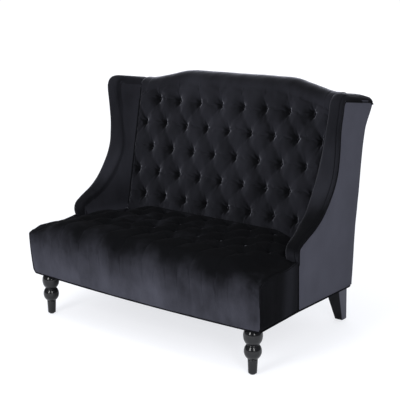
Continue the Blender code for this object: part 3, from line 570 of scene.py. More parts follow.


# Copies of the one black velvet, toned apart: their levels, terms and facing directions paint the light,
# sheen and shade that each piece shows.
night = (0.0022, 0.0023, 0.0029)
dusk = (0.060, 0.061, 0.078)
sheen_tint = (0.62, 0.63, 0.72)
# Back: painted highlights on slopes that face left and down, at the rims of the wells and folds, and a little
# painted light at the top of the roll.
velvet_back = velvet(
    "velvet_back", 0.140, 0.12, painted_light_toward=(-0.14, 0.0, -0.12), sheen=0.95, sheen_rough=0.28, blotch=0.05,
    terms=(("Z", 0.90, 1.0, 0.03),),
)
# Seat: painted sheen, lighter down the front toward the floor, with the top left dark; painted light on
# slopes that face left; darker across the right half and a little lighter again at the right end.
velvet_seat = velvet(
    "velvet_seat", 0.070, 0.17, 14.0, (1, 1, 0.40), painted_light_toward=(-0.09, 0.0, -0.10), sheen=0.012, blotch=0.15,
    blotch_scale=7.0, eased=True,
    terms=(("Z", 0.505, 0.20, 0.52), ("X", 0.05, 0.50, -0.14), ("X", 0.47, 0.60, 0.06)),
)
velvet_side = velvet(
    "velvet_side", 0.025, 0.05, sheen=0.01, terms=(("Y", -0.24, -0.18, 0.10), ("Y", -0.16, -0.125, -0.06)),
)
# Wings' inner faces: painted light on slopes that face right and toward the back, painted shade on upward
# slopes, lighter up from the seat and at the nose, and darker under the top.
velvet_wing = velvet(
    "velvet_wing", 0.065, 0.10, painted_light_toward=(0.13, 0.17, -0.08), sheen=0.24, blotch=0.08,
    terms=(("Z", 0.45, 0.65, 0.13), ("Z", 0.80, 0.95, -0.05), ("Z", 0.455, 0.40, 0.14)),
)
# Each wing's edge has its own copy, toned apart to paint the light and shade that side shows.
velvet_edges = {
    "left": velvet(
        "velvet_left_edge", 0.025, 0.10, sheen=0.28, blotch=0.08,
        terms=(("Z", 0.43, 0.65, 0.13), ("Z", 0.80, 0.95, -0.05)),
    ),
    "right": velvet(
        "velvet_right_edge", 0.0, 0.10, painted_light_toward=(-0.025, 0.0, -0.02), sheen=0.30, blotch=0.08,
        terms=(("Z", 0.50, 0.66, 0.15), ("Z", 0.76, 0.90, -0.09), ("Z", 0.46, 0.41, 0.15)),
    ),
}
# Outside panels: painted much lighter than the seat's sides, for the sheen they show in the light.
velvet_outer = velvet("velvet_outer", 0.80, 0.14, 5.0, sheen=0.15, blotch=0.16, blotch_scale=5.0)
# Cords and welts: real ones, in velvet painted darker for the shade of the seams and edges they lie in.
velvet_shaded_cord = velvet("velvet_shaded_cord", 0.02, 0.04, sheen=0.02)
velvet_button = velvet("velvet_button", 0.08, 0.06, sheen=0.8)
lacquer = mottled(
    "black_gloss_lacquer", (0.006, 0.006, 0.007), (0.007, 0.007, 0.008), 0.14, 18.0,
    coat=0.03, bump=0.02, specular=0.33,
)
# Rear legs' lacquer: faces that point to the side are painted lighter and faces that point forward darker, as
# painted light and shade.
rear_lacquer = velvet("black_satin_lacquer", 0.12, 0.03, painted_light_toward=(0.92, 0.08, 0.0), sheen=0.0, pile=0.02)
set_inputs(rear_lacquer.node_tree.nodes["Principled BSDF"], Roughness=0.45, Specular_IOR_Level=0.05)
hardwood = mottled("bare_hardwood", (0.42, 0.28, 0.16), (0.60, 0.43, 0.26), 0.6, 30.0, (1, 1, 8), bump=0.2)
plywood = mottled("bare_plywood", (0.52, 0.38, 0.23), (0.68, 0.52, 0.34), 0.65, 25.0, (1, 1, 6), bump=0.2)
zinc = mottled("zinc_plate", (0.48, 0.49, 0.50), (0.66, 0.67, 0.68), 0.35, 60.0, metallic=1.0)
wire = mottled("spring_wire", (0.14, 0.15, 0.16), (0.26, 0.27, 0.29), 0.4, 60.0, metallic=1.0)
foam = mottled("upholstery_foam", (0.78, 0.72, 0.54), (0.88, 0.82, 0.64), 0.9, 120.0, bump=0.4)
jute = mottled("jute_cloth", (0.36, 0.27, 0.15), (0.52, 0.41, 0.25), 0.9, 150.0, bump=0.5)
lining = mottled("black_lining_cloth", (0.012, 0.012, 0.013), (0.026, 0.026, 0.028), 0.85, 150.0, bump=0.3)
nylon = mottled("dark_nylon", (0.05, 0.05, 0.055), (0.09, 0.09, 0.095), 0.5, 80.0)


# Tufting


def button_places(rows, first_count):
    """Columns and rows of the buttons: rows of eight and nine take turns."""
    places = []
    for row in range(rows):
        count = first_count if row % 2 == 0 else first_count + 1
        for column in range(count):
            places.append((column - (count - 1) / 2, row))
    return np.array(places, float)


def tufting(u, v, places, rows, row_pitch, look):
    """How far the cover lies under its crowns, and how firmly the buttons hold it.

    There is a well at each button, with folds between them and pleats beyond. u counts columns and v rows.
    look holds the depths and widths."""
    inside = np.clip(v, 0.0, rows - 1.0)
    part = inside - np.floor(inside)
    bent = inside + look["bend"] * (ease(part) - part)
    first = u + bent / 2
    second = u - bent / 2
    ridge = np.cos(math.pi * first) * np.cos(math.pi * second)
    pillow = np.sqrt(np.sqrt(ridge**2 + look["soft"] ** 2))
    lean = row_pitch / math.hypot(row_pitch, button_pitch / 2)
    near_first = np.abs(first - 0.5 - np.round(first - 0.5)) * button_pitch * lean
    near_second = np.abs(second - 0.5 - np.round(second - 0.5)) * button_pitch * lean
    draws = np.array([(rng.uniform(0.88, 1.12), rng.uniform(0, math.tau)) for _ in places])
    across = (u - places[:, 0, None, None]) * button_pitch
    upward = (v - places[:, 1, None, None]) * row_pitch
    gone = np.hypot(across / look["pit_wide"], upward / look["pit_tall"])
    nearest = gone.argmin(axis=0)
    distance, aside, above = (
        np.take_along_axis(each, nearest[None], 0)[0] for each in (gone, across, upward)
    )
    size, turn_by = draws[nearest, 0], draws[nearest, 1]
    turn = np.arctan2(aside / look["pit_wide"], above / look["pit_tall"])
    rays = 0.6 * np.cos(7 * turn + turn_by) + 0.4 * np.cos(11 * turn + 2 * turn_by) + 0.5 * np.cos(turn)
    beyond = np.maximum(np.maximum(-v, v - (rows - 1)), 0.0) * row_pitch
    fade = np.exp(-((beyond / look["tail"]) ** 2))
    core = np.exp(-((distance / (look["core_width"] * size)) ** 2.4))
    funnel = np.exp(-((distance / (look["funnel_width"] * size)) ** 1.2))
    close_by = 0.4 + 0.6 * np.exp(-((distance / pleat_reach) ** 2))
    folds = (np.exp(-((near_first / look["fold_width"]) ** 1.4))
             + look["second_fold"] * np.exp(-((near_second / look["fold_width"]) ** 1.4)))
    pucker = look["pucker"] * rays * np.exp(-(((distance - pucker_ring) / pucker_width) ** 2))
    from_lid = ((aside - lid_place[0]) / lid_size[0]) ** 2 + ((above - lid_place[1]) / lid_size[1]) ** 2
    lid = look["lid"] * size**3 * np.exp(-from_lid)
    sink = (look["core_depth"] * core + look["funnel_depth"] * funnel
            + look["pillow_depth"] * (1 - pillow) * fade
            + look["fold_depth"] * folds * close_by * fade * (1 - core) + pucker - lid)
    return sink, np.exp(-((distance / button_hold) ** 4))


def add_buttons(name, places, normal):
    """Small covered buttons, each a dome on its place."""
    points = []
    faces = []
    rings = 5
    sides = 16
    side = np.cross(normal, (0.0, 0.0, 1.0) if abs(normal[2]) < 0.9 else (1.0, 0.0, 0.0))
    side /= np.linalg.norm(side)
    up = np.cross(side, normal)
    for place in places:
        start = len(points)
        for ring in range(rings):
            turn = math.pi / 2 * ring / rings
            reach = button_radius * math.cos(turn)
            lift = button_height * math.sin(turn)
            for i in range(sides):
                around = math.tau * i / sides
                outward = side * math.cos(around) + up * math.sin(around)
                points.append(place + reach * outward + normal * lift)
        faces += grid_faces(rings, sides, wrap=True, start=start)
        points.append(place + normal * button_height)
        last = start + (rings - 1) * sides
        faces += [(last + i, last + (i + 1) % sides, len(points) - 1) for i in range(sides)]
        faces.append(tuple(start + i for i in reversed(range(sides))))
    mesh_piece(name, points, faces, velvet_button)


def relaxed(name, points, held, pressure, slack):
    """The cover after a cloth simulation: held where held is 1, puffed by pressure, with slack to wrinkle.

    The cloth runs on every second row and column, and its movement is spread back over the fine grid."""
    rows, columns = points.shape[:2]
    pick_rows, pick_columns = (
        np.unique(np.append(np.arange(0, size, 2), size - 1)) for size in (rows, columns)
    )
    chosen = np.ix_(pick_rows, pick_columns)
    coarse = points[chosen].reshape(-1, 3)
    mesh = bpy.data.meshes.new(name)
    mesh.from_pydata(coarse.tolist(), [], grid_faces(len(pick_rows), len(pick_columns)))
    cloth = add_object(name, mesh)
    group = cloth.vertex_groups.new(name="held")
    for number, weight in enumerate(held[chosen].ravel()):
        group.add([number], float(weight), "REPLACE")
    modifier = cloth.modifiers.new("cover", "CLOTH")
    for key, value in cloth_settings.items():
        setattr(modifier.settings, key, value)
    modifier.settings.uniform_pressure_force = pressure
    modifier.settings.shrink_min = -slack
    modifier.settings.effector_weights.gravity = 0.0
    modifier.collision_settings.use_collision = False
    modifier.point_cache.frame_start = 1
    modifier.point_cache.frame_end = cloth_frames
    scene = bpy.context.scene
    for number in range(1, cloth_frames + 1):
        scene.frame_set(number)
    solved = cloth.evaluated_get(bpy.context.evaluated_depsgraph_get()).to_mesh()
    moved = np.array([vertex.co for vertex in solved.vertices]) - coarse
    bpy.data.objects.remove(cloth)
    scene.frame_set(1)
    length = np.linalg.norm(moved, axis=1)
    moved *= (np.tanh(length / cloth_cap) * cloth_cap / np.maximum(length, 1e-9))[:, None]
    moved = moved.reshape(len(pick_rows), len(pick_columns), 3)
    whole = np.zeros(points.shape)
    for axis in range(3):
        down = np.array([np.interp(np.arange(rows), pick_rows, line) for line in moved[..., axis].T]).T
        whole[..., axis] = np.array([np.interp(np.arange(columns), pick_columns, line) for line in down])
    return points + whole


def held_edges(weight):
    """Full hold at the border of a grid, and the given weights inside."""
    border = 3
    held = np.ones(weight.shape)
    held[border:-border, border:-border] = weight[border:-border, border:-border]
    return held


# The buttoned back

back_places = button_places(back_rows, 8)
back_look = {
    "bend": 0.7, "tail": 0.045, "core_width": 0.0125, "core_depth": 0.022, "funnel_width": 0.026,
    "funnel_depth": 0.013, "pillow_depth": 0.0035, "soft": 0.12, "fold_width": 0.013, "fold_depth": 0.0016,
    "second_fold": 0.10, "pucker": 0.0026, "pit_wide": 0.72, "pit_tall": 1.45, "lid": 0.0060,
}


def half_pitch_places(limit, crowd):
    """Even places on both sides of the middle, crowded toward each half pitch of the buttons."""
    steps = 15
    count = int(limit / (button_pitch / 2) * steps)
    share = np.arange(-count, count + 1) / steps
    return warped(share, crowd) * button_pitch / 2


def back_grid():
    """The back's cover: up the face, over the roll and down behind, between the two wing seams.

    The roll's ends are left open, and a slot of each shows from behind, over the wing's top."""
    middle = half_pitch_places(back_middle, back_crowd)
    edge = np.linspace(0, 1, 24)[1:]
    columns = len(middle) + 2 * len(edge)
    x_flat = np.concatenate([-0.5 * np.ones(len(edge)), middle, 0.5 * np.ones(len(edge))])
    edge_share = np.concatenate([edge[::-1], np.zeros(len(middle)), edge])
    low = np.arange(back_face_start, back_first_row_height - 0.004, back_face_step)
    low = np.concatenate([back_hidden_heights, low])
    share = np.arange(0, (back_rows - 1) * back_row_steps + 1) / back_row_steps
    face = np.concatenate([low, back_first_row_height + back_row_pitch * warped(share, back_crowd)])
    high = camel_top(x_flat * 1.03) + shoulder_fill * ease((np.abs(x_flat) - 0.34) / 0.10)
    rows = [(np.full(columns, z), surface_depth(z) * np.ones(columns), np.zeros(columns)) for z in face]
    top_base = high - back_roll_height
    steps = 14
    for step in range(1, steps + 1):
        z = face[-1] + (top_base - face[-1]) * step / steps
        rows.append((z, surface_depth(z), np.zeros(columns)))
    front = surface_depth(top_base)
    rear = rear_depth(top_base)
    roll_steps = 24
    for step in range(1, roll_steps + 1):
        turn = math.pi * step / roll_steps
        z = top_base + back_roll_height * math.sin(turn) ** 0.8
        depth = (front + rear) / 2 - (rear - front) / 2 * math.cos(turn)
        rows.append((z, depth, np.full(columns, turn)))
    seam = high - back_rear_seam_drop
    for step in range(1, 5):
        z = top_base + (seam - top_base) * step / 4
        rows.append((z, rear_depth(z), np.full(columns, math.pi)))
    z, depth, turn = (np.array([row[part] for row in rows]) for part in range(3))
    wide = inner_half_width(z) - panel_inset
    inner_edge = middle[-1]
    x = np.where(edge_share > 0, np.sign(x_flat) * (inner_edge + (wide - inner_edge) * edge_share), x_flat)
    base = np.stack([x, depth, z], axis=2)
    normal = grid_normals(base)
    if np.mean(normal[20:60, :, 1]) > 0:
        normal = -normal
    u = (x - back_pit_shift[0]) / button_pitch
    v = (z - back_pit_shift[1] - back_first_row_height) / back_row_pitch
    sink, held = tufting(u, v, back_places, back_rows, back_row_pitch / math.cos(back_recline), back_look)
    to_edge = wide - np.abs(x)
    in_face = turn < 0.1
    sink = sink * ease(to_edge / 0.022) + 0.003 * (1 - ease(to_edge / 0.010)) * in_face
    sink = sink * ease((z - back_hidden_heights[1]) / 0.03)
    sink = sink * (1 - ease((v - back_rows + 1.0) / 0.9)) * in_face
    sink += crumple * soft_noise(base, 0.11, 5) * ease(to_edge / 0.05)
    points = base - normal * sink[..., None]
    held = np.maximum(held, 1 - in_face)
    return relaxed("back_cloth", points, held_edges(held), pressure=2.5, slack=0.02)


def add_back():
    cover = grid_piece("back_cover", back_grid(), velvet_back, (0, -1, 0), ("back_cushion",))
    lean = np.array([0.0, -math.cos(back_recline), math.sin(back_recline)])
    places = []
    for column, row in back_places:
        z = back_first_row_height + row * back_row_pitch
        spot = np.array([column * button_pitch + back_pit_shift[0], surface_depth(z), z + back_pit_shift[1]])
        places.append(spot - lean * back_button_sink)
    add_buttons("back_buttons", places, lean)
    # A cord down each seam between the back and a wing; its dark tone is painted shade in the seam.
    heights = np.linspace(*back_seam_heights, 60)
    wide = inner_half_width(heights) - 0.0022
    depth = surface_depth(heights) - 0.0004
    for side, sign in both_sides:
        tube_piece(f"back_seam_{side}", np.column_stack([sign * wide, depth, heights]), seam_radius)


# The buttoned seat

seat_places = button_places(seat_rows, 8)
seat_end = seat_half_width + seat_spread
seat_look = {
    "bend": 0.5, "tail": 0.05, "core_width": 0.0095, "core_depth": 0.010, "funnel_width": 0.024,
    "funnel_depth": 0.010, "pillow_depth": 0.006, "fold_width": 0.008, "fold_depth": 0.0025,
    "second_fold": 0.8, "pucker": 0.0010, "soft": 0.05, "pit_wide": 0.80, "pit_tall": 1.25, "lid": 0.0,
}


def seat_drop(x):
    """How far the seat's top has rolled over toward an end, from 0 to 1."""
    return ease((np.abs(x) - (seat_end - seat_side_flat - seat_side_roll)) / seat_side_roll)


def seat_frame():
    """The seat's cover before buttoning: a grid of points up the front, over the brow and to the back."""
    middle = half_pitch_places(seat_middle, seat_crowd)
    edge = np.linspace(middle[-1], seat_end, 30)[1:]
    x = np.concatenate([-edge[::-1], middle, edge])
    columns = len(x)
    drop = seat_drop(x)
    reach = brow_reach[0] + (brow_reach[1] - brow_reach[0]) * drop
    rise = brow_rise[0] + (brow_rise[1] - brow_rise[0]) * drop
    bow = -seat_bow * (1 - (x / seat_half_width) ** 2)
    rows = []

    def crown(depth):
        side = seat_side_line(depth, np.where(x < 0, 1.0, 0.0))
        return seat_crown_height + (side - seat_crown_height) * drop

    brow_depth = bow - seat_lean
    top = crown(brow_depth + reach)
    brow_base = top - rise
    foot = skirt_base - skirt_hang
    for share in np.linspace(0, 1, 34):
        z = foot + (brow_base - foot) * share
        up = np.clip((z - skirt_base) / (brow_base - skirt_base), 0, 1)
        rows.append((bow - seat_lean * np.sin(up * math.pi / 2), z))
    brow_steps = 20
    for step in range(1, brow_steps + 1):
        turn = math.pi / 2 * step / brow_steps
        rows.append((brow_depth + reach * (1 - math.cos(turn)), brow_base + rise * math.sin(turn)))
    front = brow_depth + reach
    first = seat_first_row_depth
    share = np.arange(0, (seat_rows - 1) * seat_row_steps + 1) / seat_row_steps
    tail = np.linspace(first + (seat_rows - 1) * seat_row_pitch, seat_back_depth, 10)[1:]
    over = np.concatenate([first + seat_row_pitch * warped(share, seat_crowd), tail])
    for share in np.linspace(0, 1, 18)[1:]:
        rows.append((front + (first - front) * share, None))
    for depth in over[1:]:
        rows.append((np.full(columns, depth), None))
    depth = np.array([row[0] for row in rows])
    z = []
    for (_, height), depths in zip(rows, depth):
        if height is None:
            share = np.clip((depths - front) / (seat_back_depth - front), 0, 1)
            rear = seat_junction_height + (seat_side_height + 0.01 - seat_junction_height) * drop
            level = crown(depths)
            height = level + (rear - level) * ease((share - 0.80) / 0.2)
        z.append(np.broadcast_to(height, (columns,)))
    z = np.array(z)
    wide = seat_width_at(depth, z)
    inner = wing_face(depth, np.full(depth.shape, seat_junction_height)) - 0.002
    blend = ease((depth - (arm_depth - 0.012)) / 0.02)
    wide = wide + (np.minimum(inner, wide) - wide) * blend
    inner_edge = middle[-1]
    past = np.abs(x) - inner_edge
    stretched = np.sign(x) * (inner_edge + (wide - inner_edge) * past / (seat_end - inner_edge))
    squeezed = np.clip(x * np.minimum(wide / seat_end, 1.0), -wide, wide)
    across = np.where(wide > inner_edge + 0.01, np.where(past > 0, stretched, x), squeezed)
    return np.stack([across, depth, z], axis=2)


def seat_points():
    """The seat's cover with its buttons, pleats and folds."""
    base = seat_frame()
    normal = grid_normals(base)
    if np.mean(normal[80:110, 100:140, 2]) < 0:
        normal = -normal
    x, depth, z = base[..., 0], base[..., 1], base[..., 2]
    u = x / button_pitch
    v = (depth - seat_first_row_depth) / seat_row_pitch
    fold_path = np.maximum(seat_first_row_depth - depth, 0) + np.maximum(0.40 - z, 0.0)
    sink, held = tufting(u, v, seat_places, seat_rows, seat_row_pitch, seat_look)
    ribs = 1 - np.abs(np.cos(math.pi * u)) ** 0.6
    from_crease = np.abs(u - 0.5 - np.round(u - 0.5)) * button_pitch
    crease = np.exp(-((from_crease / seat_crease_width) ** 1.4))
    channel = seat_channel_depth * ribs + seat_crease_depth * crease
    channel *= np.exp(-((fold_path / seat_channel_reach) ** 2))
    inside = ease((4.35 - np.abs(u)) / 0.5)
    in_front = (1 - ease((v + 0.30) / 0.30)) * np.where(depth < seat_first_row_depth, 1.0, 0.0)
    total = (sink * (1 - in_front) + channel * np.where(v < 0, 1, 0)) * inside
    total *= ease((seat_back_depth - depth) / 0.02)
    total += crumple * soft_noise(base, 0.13, 9)
    streaks = soft_noise(base * np.array([1, 1, 0.15]), 0.045, 10)
    total += crumple * streaks * ease((0.38 - z) / 0.06)
    points = base - normal * total[..., None]
    front = ease((0.34 - z) / 0.05) * 0.9
    return relaxed("seat_cloth", points, held_edges(np.maximum(held, front)), pressure=3.0, slack=0.015)


def add_seat():
    cover = grid_piece("seat_cover", seat_points(), velvet_seat, (0, -1, 1), ("seat_cushion",))
    up = np.array([0.0, 0.0, 1.0])
    places = []
    for column, row in seat_places:
        depth = seat_first_row_depth + row * seat_row_pitch
        x = column * button_pitch
        z = seat_crown_height + (seat_side_line(depth, float(x < 0)) - seat_crown_height) * seat_drop(x)
        places.append(np.array([x, depth, z]) - up * seat_button_sink)
    add_buttons("seat_buttons", places, up)
    for side, sign in both_sides:
        add_seat_side(side, sign)


def add_seat_side(side, sign):
    """The plain panel at an end of the seat, before the arm, and the welt at its front corner."""
    depths = np.linspace(0, 1, 44)
    rows = []
    for share in np.linspace(0, 1, 44):
        front = -seat_lean * math.sin(share * math.pi / 2)
        rear = seam_depth(skirt_base + (arm_seam_top - skirt_base) * share) + 0.004
        depth = front + (rear - front) * depths
        top = seat_side_line(depth, 1.0 if sign < 0 else 0.0)
        z = skirt_base - skirt_hang + (top - skirt_base + skirt_hang) * share
        near = np.minimum(min(share, 1 - share) * 0.19, np.minimum(depths, 1 - depths) * 0.26)
        puff = seat_side_puff * ease(near / 0.02) - 0.0012
        rows.append(np.stack([sign * (seat_width_at(depth, z) + puff), depth, z], axis=1))
    grid = roughened(rows, 0, sign * 0.0009, 0.06, 21, (1, 1, 0.3))
    grid_piece(f"seat_side_{side}", grid, velvet_side, (sign, 0, 0))
    z = np.linspace(skirt_base, seat_corner_height - 2 * corner_welt_radius, 40)
    front = -seat_lean * np.sin((z - skirt_base) / (seat_corner_height - skirt_base) * math.pi / 2)
    corner = np.column_stack([sign * (seat_width_at(front, z) - 0.0006), front + 0.0006, z])
    tube_piece(f"seat_corner_welt_{side}", corner, corner_welt_radius)


# Wings


def add_wing(side, sign):
    add_inner_panel(side, sign)
    add_outer_panel(side, sign)
    add_band(side, sign)


def panel_heights(start, count):
    """Heights for the rows of a wing's panels, closer at its rounded top."""
    turn = np.linspace(0.1, 1.5, 10)
    return np.concatenate([np.linspace(start, wing_height - wing_corner_radius, count),
                           wing_height - wing_corner_radius * (1 - np.sin(turn))])


def add_inner_panel(side, sign):
    """The smooth inner face of a wing, from the band's inner edge to the seam with the back."""
    share = np.linspace(0, 1, 70)
    rows = []
    for z in panel_heights(0.380, 110):
        front = wing_front(z) + 0.0006
        back = surface_depth(max(z, wing_nose_height)) + 0.010
        past = ease((z - 0.90) / 0.04)
        back = back + (rear_depth(z) - 0.012 - tip_rounding(z) - back) * past
        depth = front + (back - front) * share
        level = wing_level(z, depth)
        x = wing_face(depth, level)
        puff = inner_puff * np.sin(math.pi * share) ** 2
        puff = puff * ease((z - 0.40) / 0.08) * ease((wing_height - z) / 0.08)
        rows.append(np.stack([sign * (x - puff), depth, level], axis=1))
    grid = roughened(rows, 0, 0.0008, 0.10, 31)
    grid_piece(f"wing_inner_{side}", grid, velvet_wing, (-sign, 0, 0), (f"wing_pad_{side}",))


def add_outer_panel(side, sign):
    """The plain outside panel of an arm and wing."""
    share = np.linspace(0, 1, 70)
    turn = np.linspace(0, math.pi / 2, 9)[1:]
    rows = []
    for z in np.concatenate([[skirt_base - 0.005], panel_heights(skirt_base, 130)]):
        front = wing_front(z) + 0.0008
        rear = rear_depth(wing_level(z, rear_depth(z)))
        low = min(max(panel_tuck - (z - skirt_base), 0.0), panel_tuck)
        rear = rear - panel_tuck + math.sqrt(panel_tuck**2 - low**2) - tip_rounding(z)
        depth = front + (rear - panel_corner - front) * share
        near = np.minimum(share, 1 - share) * (rear - front)
        puff = outer_puff * ease(near / 0.05) * ease((z - skirt_base) / 0.05) * ease((wing_height - z) / 0.05)
        around = np.concatenate([depth, rear - panel_corner + panel_corner * np.sin(turn)])
        wide = outer_half_width(z)
        corner = wide - panel_inset - panel_corner * (1 - np.cos(turn))
        wide = np.concatenate([wide + puff - panel_inset, corner])
        rows.append(np.stack([sign * wide, around, wing_level(z, around)], axis=1))
    grid = roughened(rows, 0, 0.0007, 0.16, 41)
    grid_piece(f"wing_outer_{side}", grid, velvet_outer, (sign, 0, 0), (f"outside_panel_{side}",))


def band_path():
    """Even points of depth and height along a wing's edge, from the nose to the back.

    The share of the way along comes with them, and whether a point is on the wing's top."""
    turn = np.linspace(0.12, math.pi / 2, 10)
    heights = np.concatenate([np.linspace(wing_nose_height - wing_nose_drop, wing_nose_height, 6)[:-1],
                              np.linspace(wing_nose_height, wing_height - wing_corner_radius, 90),
                              wing_height - wing_corner_radius * (1 - np.sin(turn))])
    depth = wing_front(heights)
    end = rear_depth(wing_rear_height) - 0.004
    top = np.linspace(depth[-1], end - wing_tip_radius, 26)[1:]
    turn = np.linspace(0, 1.25, 8)[1:]
    depth = np.concatenate([depth, top, top[-1] + wing_tip_radius * np.sin(turn)])
    level = np.concatenate([heights, np.full(len(top), wing_height),
                            wing_height - wing_tip_radius * (1 - np.cos(turn))])
    path = np.stack([depth, wing_level(level, depth)], axis=1)
    top_flags = (level >= wing_height - 0.002) | (depth > wing_front_depth + 0.05)
    gone = np.concatenate([[0], np.cumsum(np.linalg.norm(np.diff(path, axis=0), axis=1))])
    even = np.linspace(0, gone[-1], 150)
    on_top = np.interp(even, gone, top_flags) > 0.5
    path = np.stack([np.interp(even, gone, path[:, 0]), np.interp(even, gone, path[:, 1])], axis=1)
    for _ in range(3):
        path[1:-1] = (path[:-2] + 2 * path[1:-1] + path[2:]) / 4
    return path, even / gone[-1], on_top


def add_band(side, sign):
    """The rounded band on a wing's edge: welted to the outside panel, and smooth into the inner face."""
    path, share, on_top = band_path()
    run = np.gradient(path, axis=0)
    run /= np.linalg.norm(run, axis=1)[:, None]
    out = np.stack([-run[:, 1], run[:, 0]], axis=1)
    tucks = np.array([0.006, 0.014, 0.026])
    lifts = np.array([0.0004, 0.0000, -0.0016])
    turn = np.linspace(0, math.pi, 31)
    length = np.linalg.norm(np.diff(path, axis=0), axis=1).sum()
    top_share = ease((path[:, 1] - wing_height + 0.06) / 0.05) * ease((path[:, 0] - wing_front_depth) / 0.03)
    rows = []
    welt = []
    stitches = []
    for i, (depth, z) in enumerate(path):
        level = wing_height if on_top[i] else max(z, wing_nose_height)
        outer = float(outer_half_width(level))
        inner = outer - float(band_width_at(level))
        if on_top[i]:
            inner = float(wing_face(depth, z))
        from_end = (1 - share[i]) * length
        from_start = share[i] * length
        swell = 0.30 + 0.70 * ease(from_start / 0.045)
        swell *= 0.72 + 0.28 * ease(from_end / 0.07)
        swell *= math.sqrt(1 - (1 - min(from_end / 0.010, 1.0)) ** 2 + 0.0004)
        over = top_overlap * top_share[i]
        x = (outer + inner) / 2 - 0.0006 + (outer - inner) / 2 * np.cos(turn)
        lift = band_bulge * swell * np.sin(turn) ** 0.62
        lift[0] = -0.004 - over
        stitch_x = outer - stitch_inset
        groove = 0.0016 * np.exp(-(((x - stitch_x) / 0.0016) ** 2))
        at_stitch = float(np.interp(-stitch_x, -x, lift)) - 0.0004
        stitches.append((sign * stitch_x, depth + out[i, 0] * at_stitch, z + out[i, 1] * at_stitch))
        lift = lift - groove
        deep = depth - out[i, 0] * tucks
        face = wing_face(deep, z - out[i, 1] * tucks)
        x = np.concatenate([x, face - lifts])
        lift = np.concatenate([lift, -tucks])
        rows.append(np.stack([sign * x, depth + out[i, 0] * lift, z + out[i, 1] * lift], axis=1))
        welt.append((sign * (outer + 0.0010), depth - out[i, 0] * over, z - out[i, 1] * over))
    grid = roughened(rows, 1, 0.0005, 0.07, 51)
    below = np.linspace(skirt_base - 0.002, welt[0][2], 24)[:-1]
    lower = [(sign * (outer_half_width(z) + 0.0006), seam_depth(z) + 0.0004, z) for z in below]
    grid_piece(f"wing_edge_{side}", grid, velvet_edges[side], (0, -1, 1), (f"wing_band_{side}",))
    tube_piece(f"wing_welt_{side}", lower + welt, welt_radius)
    tube_piece(f"wing_stitch_{side}", stitches, stitch_radius, sides=6)


def add_outside_back():
    """The plain panel behind, raised at its ends to close the wings, and the welts round it."""
    share = np.linspace(-1, 1, 160)
    rows = []
    foot = skirt_base - skirt_hang
    for up in np.linspace(0, 1, 96):
        level = foot
        for _ in range(3):
            x = share * (outer_half_width(level) - 0.006)
            middle_top = camel_top(x) - back_rear_seam_drop - 0.001
            to_wing = ease((np.abs(x) - rear_seam_half_width) / 0.012)
            top = middle_top + (wing_rear_height - wing_tip_radius - middle_top) * to_wing
            level = foot + (top - skirt_base + skirt_hang) * up
        low = np.clip(rear_tuck - (level - skirt_base), 0.0, rear_tuck)
        depth = rear_depth(level) - rear_tuck + np.sqrt(rear_tuck**2 - low**2) - 0.0012
        rows.append(np.stack([x, depth, level], axis=1))
    grid_piece("rear_cover", np.array(rows), velvet_outer, (0, 1, 0), ("outside_back_panel",))
    x = np.linspace(-rear_seam_half_width, rear_seam_half_width, 120)
    z = camel_top(x) - back_rear_seam_drop
    tube_piece("rear_top_welt", np.column_stack([x, rear_depth(z) - 0.0006, z]), welt_radius)
    z = np.linspace(skirt_base, wing_rear_height - wing_tip_radius, 80)
    for side, sign in both_sides:
        x = sign * (outer_half_width(z) - 0.0045)
        tube_piece(f"rear_welt_{side}", np.column_stack([x, rear_depth(z) - 0.0012, z]), welt_radius)


# Legs


def leg_profile():
    """Radius and height down the turned leg: bulb, neck, ball, collar and tapered foot."""
    high = math.asin((leg_top - bulb_height) / bulb_half_height)
    profile = [(bulb_radius * math.cos(turn), bulb_height + bulb_half_height * math.sin(turn))
               for turn in np.linspace(high, 0, 14)]
    profile += [tuple(point) for point in smooth_table(leg_bulb_table, 4)[1:]]
    profile += [tuple(point) for point in smooth_table(leg_ball_table, 4)]
    ankle, foot = leg_foot_table
    for share in np.linspace(0.0, 1, 12):
        profile.append(tuple(start + (end - start) * share for start, end in zip(ankle, foot)))
    return profile + list(leg_tip)


def add_leg(side, sign):
    sides = 56
    middle = sign * front_leg_x
    profile = leg_profile()
    points = []
    for radius, z in profile:
        for i in range(sides):
            turn = math.tau * i / sides
            points.append((middle + radius * math.cos(turn), front_leg_depth + radius * math.sin(turn), z))
    faces = grid_faces(len(profile), sides, wrap=True)
    faces.append(tuple(range(sides)))
    faces.append(tuple((len(profile) - 1) * sides + i for i in reversed(range(sides))))
    leg = mesh_piece(f"turned_leg_{side}", points, faces, lacquer, (f"front_leg_{side}",))
    leg.data.set_sharp_from_angle(angle=math.radians(55))


# Trim


def bottom_line():
    """The upholstery's bottom edge in plan, all the way round."""
    half = []
    arm_foot = float(seam_depth(skirt_base))
    for share in np.linspace(0, 0.985, 30):
        x = seat_half_width * share
        half.append((x, -seat_bow * (1 - (x / seat_half_width) ** 2) + 0.001))
    half += [(seat_half_width - 0.002, 0.004), (seat_half_width, 0.010)]
    for share in np.linspace(0.05, 1, 10):
        half.append((seat_half_width + (base_half_width - seat_half_width) * share, arm_foot * share))
    start = arm_foot + 0.045
    half += [(base_half_width, start)]
    for share in np.linspace(0.1, 1, 12):
        half.append((base_half_width, start + (rear_base_depth - 0.022 - start) * share))
    rear = rear_base_depth - 0.009
    half += [(base_half_width - 0.003, rear_base_depth - 0.013), (base_half_width - 0.010, rear)]
    for share in np.linspace(0.9, 0, 12):
        half.append((base_half_width * share, rear))
    half = np.array(half)
    other = half[-2:0:-1] * np.array([-1, 1])
    return np.vstack([half, other])


def add_trim():
    line = bottom_line()
    path = np.column_stack([line, np.full(len(line), leg_height + 0.003)])
    tube_piece("bottom_cord", path, piping_radius, ("bottom_piping",), sides=10, closed=True)


# Floor, light and camera

sky_tint = (0.95, 0.97, 1.0, 1)
floor_tint = (0.90, 0.91, 0.94, 1)
floor_glow = (1.11, 1.12, 1.16, 1)
floor_glow_share = 0.62
lamp_target = (0.0, 0.1, 0.5)


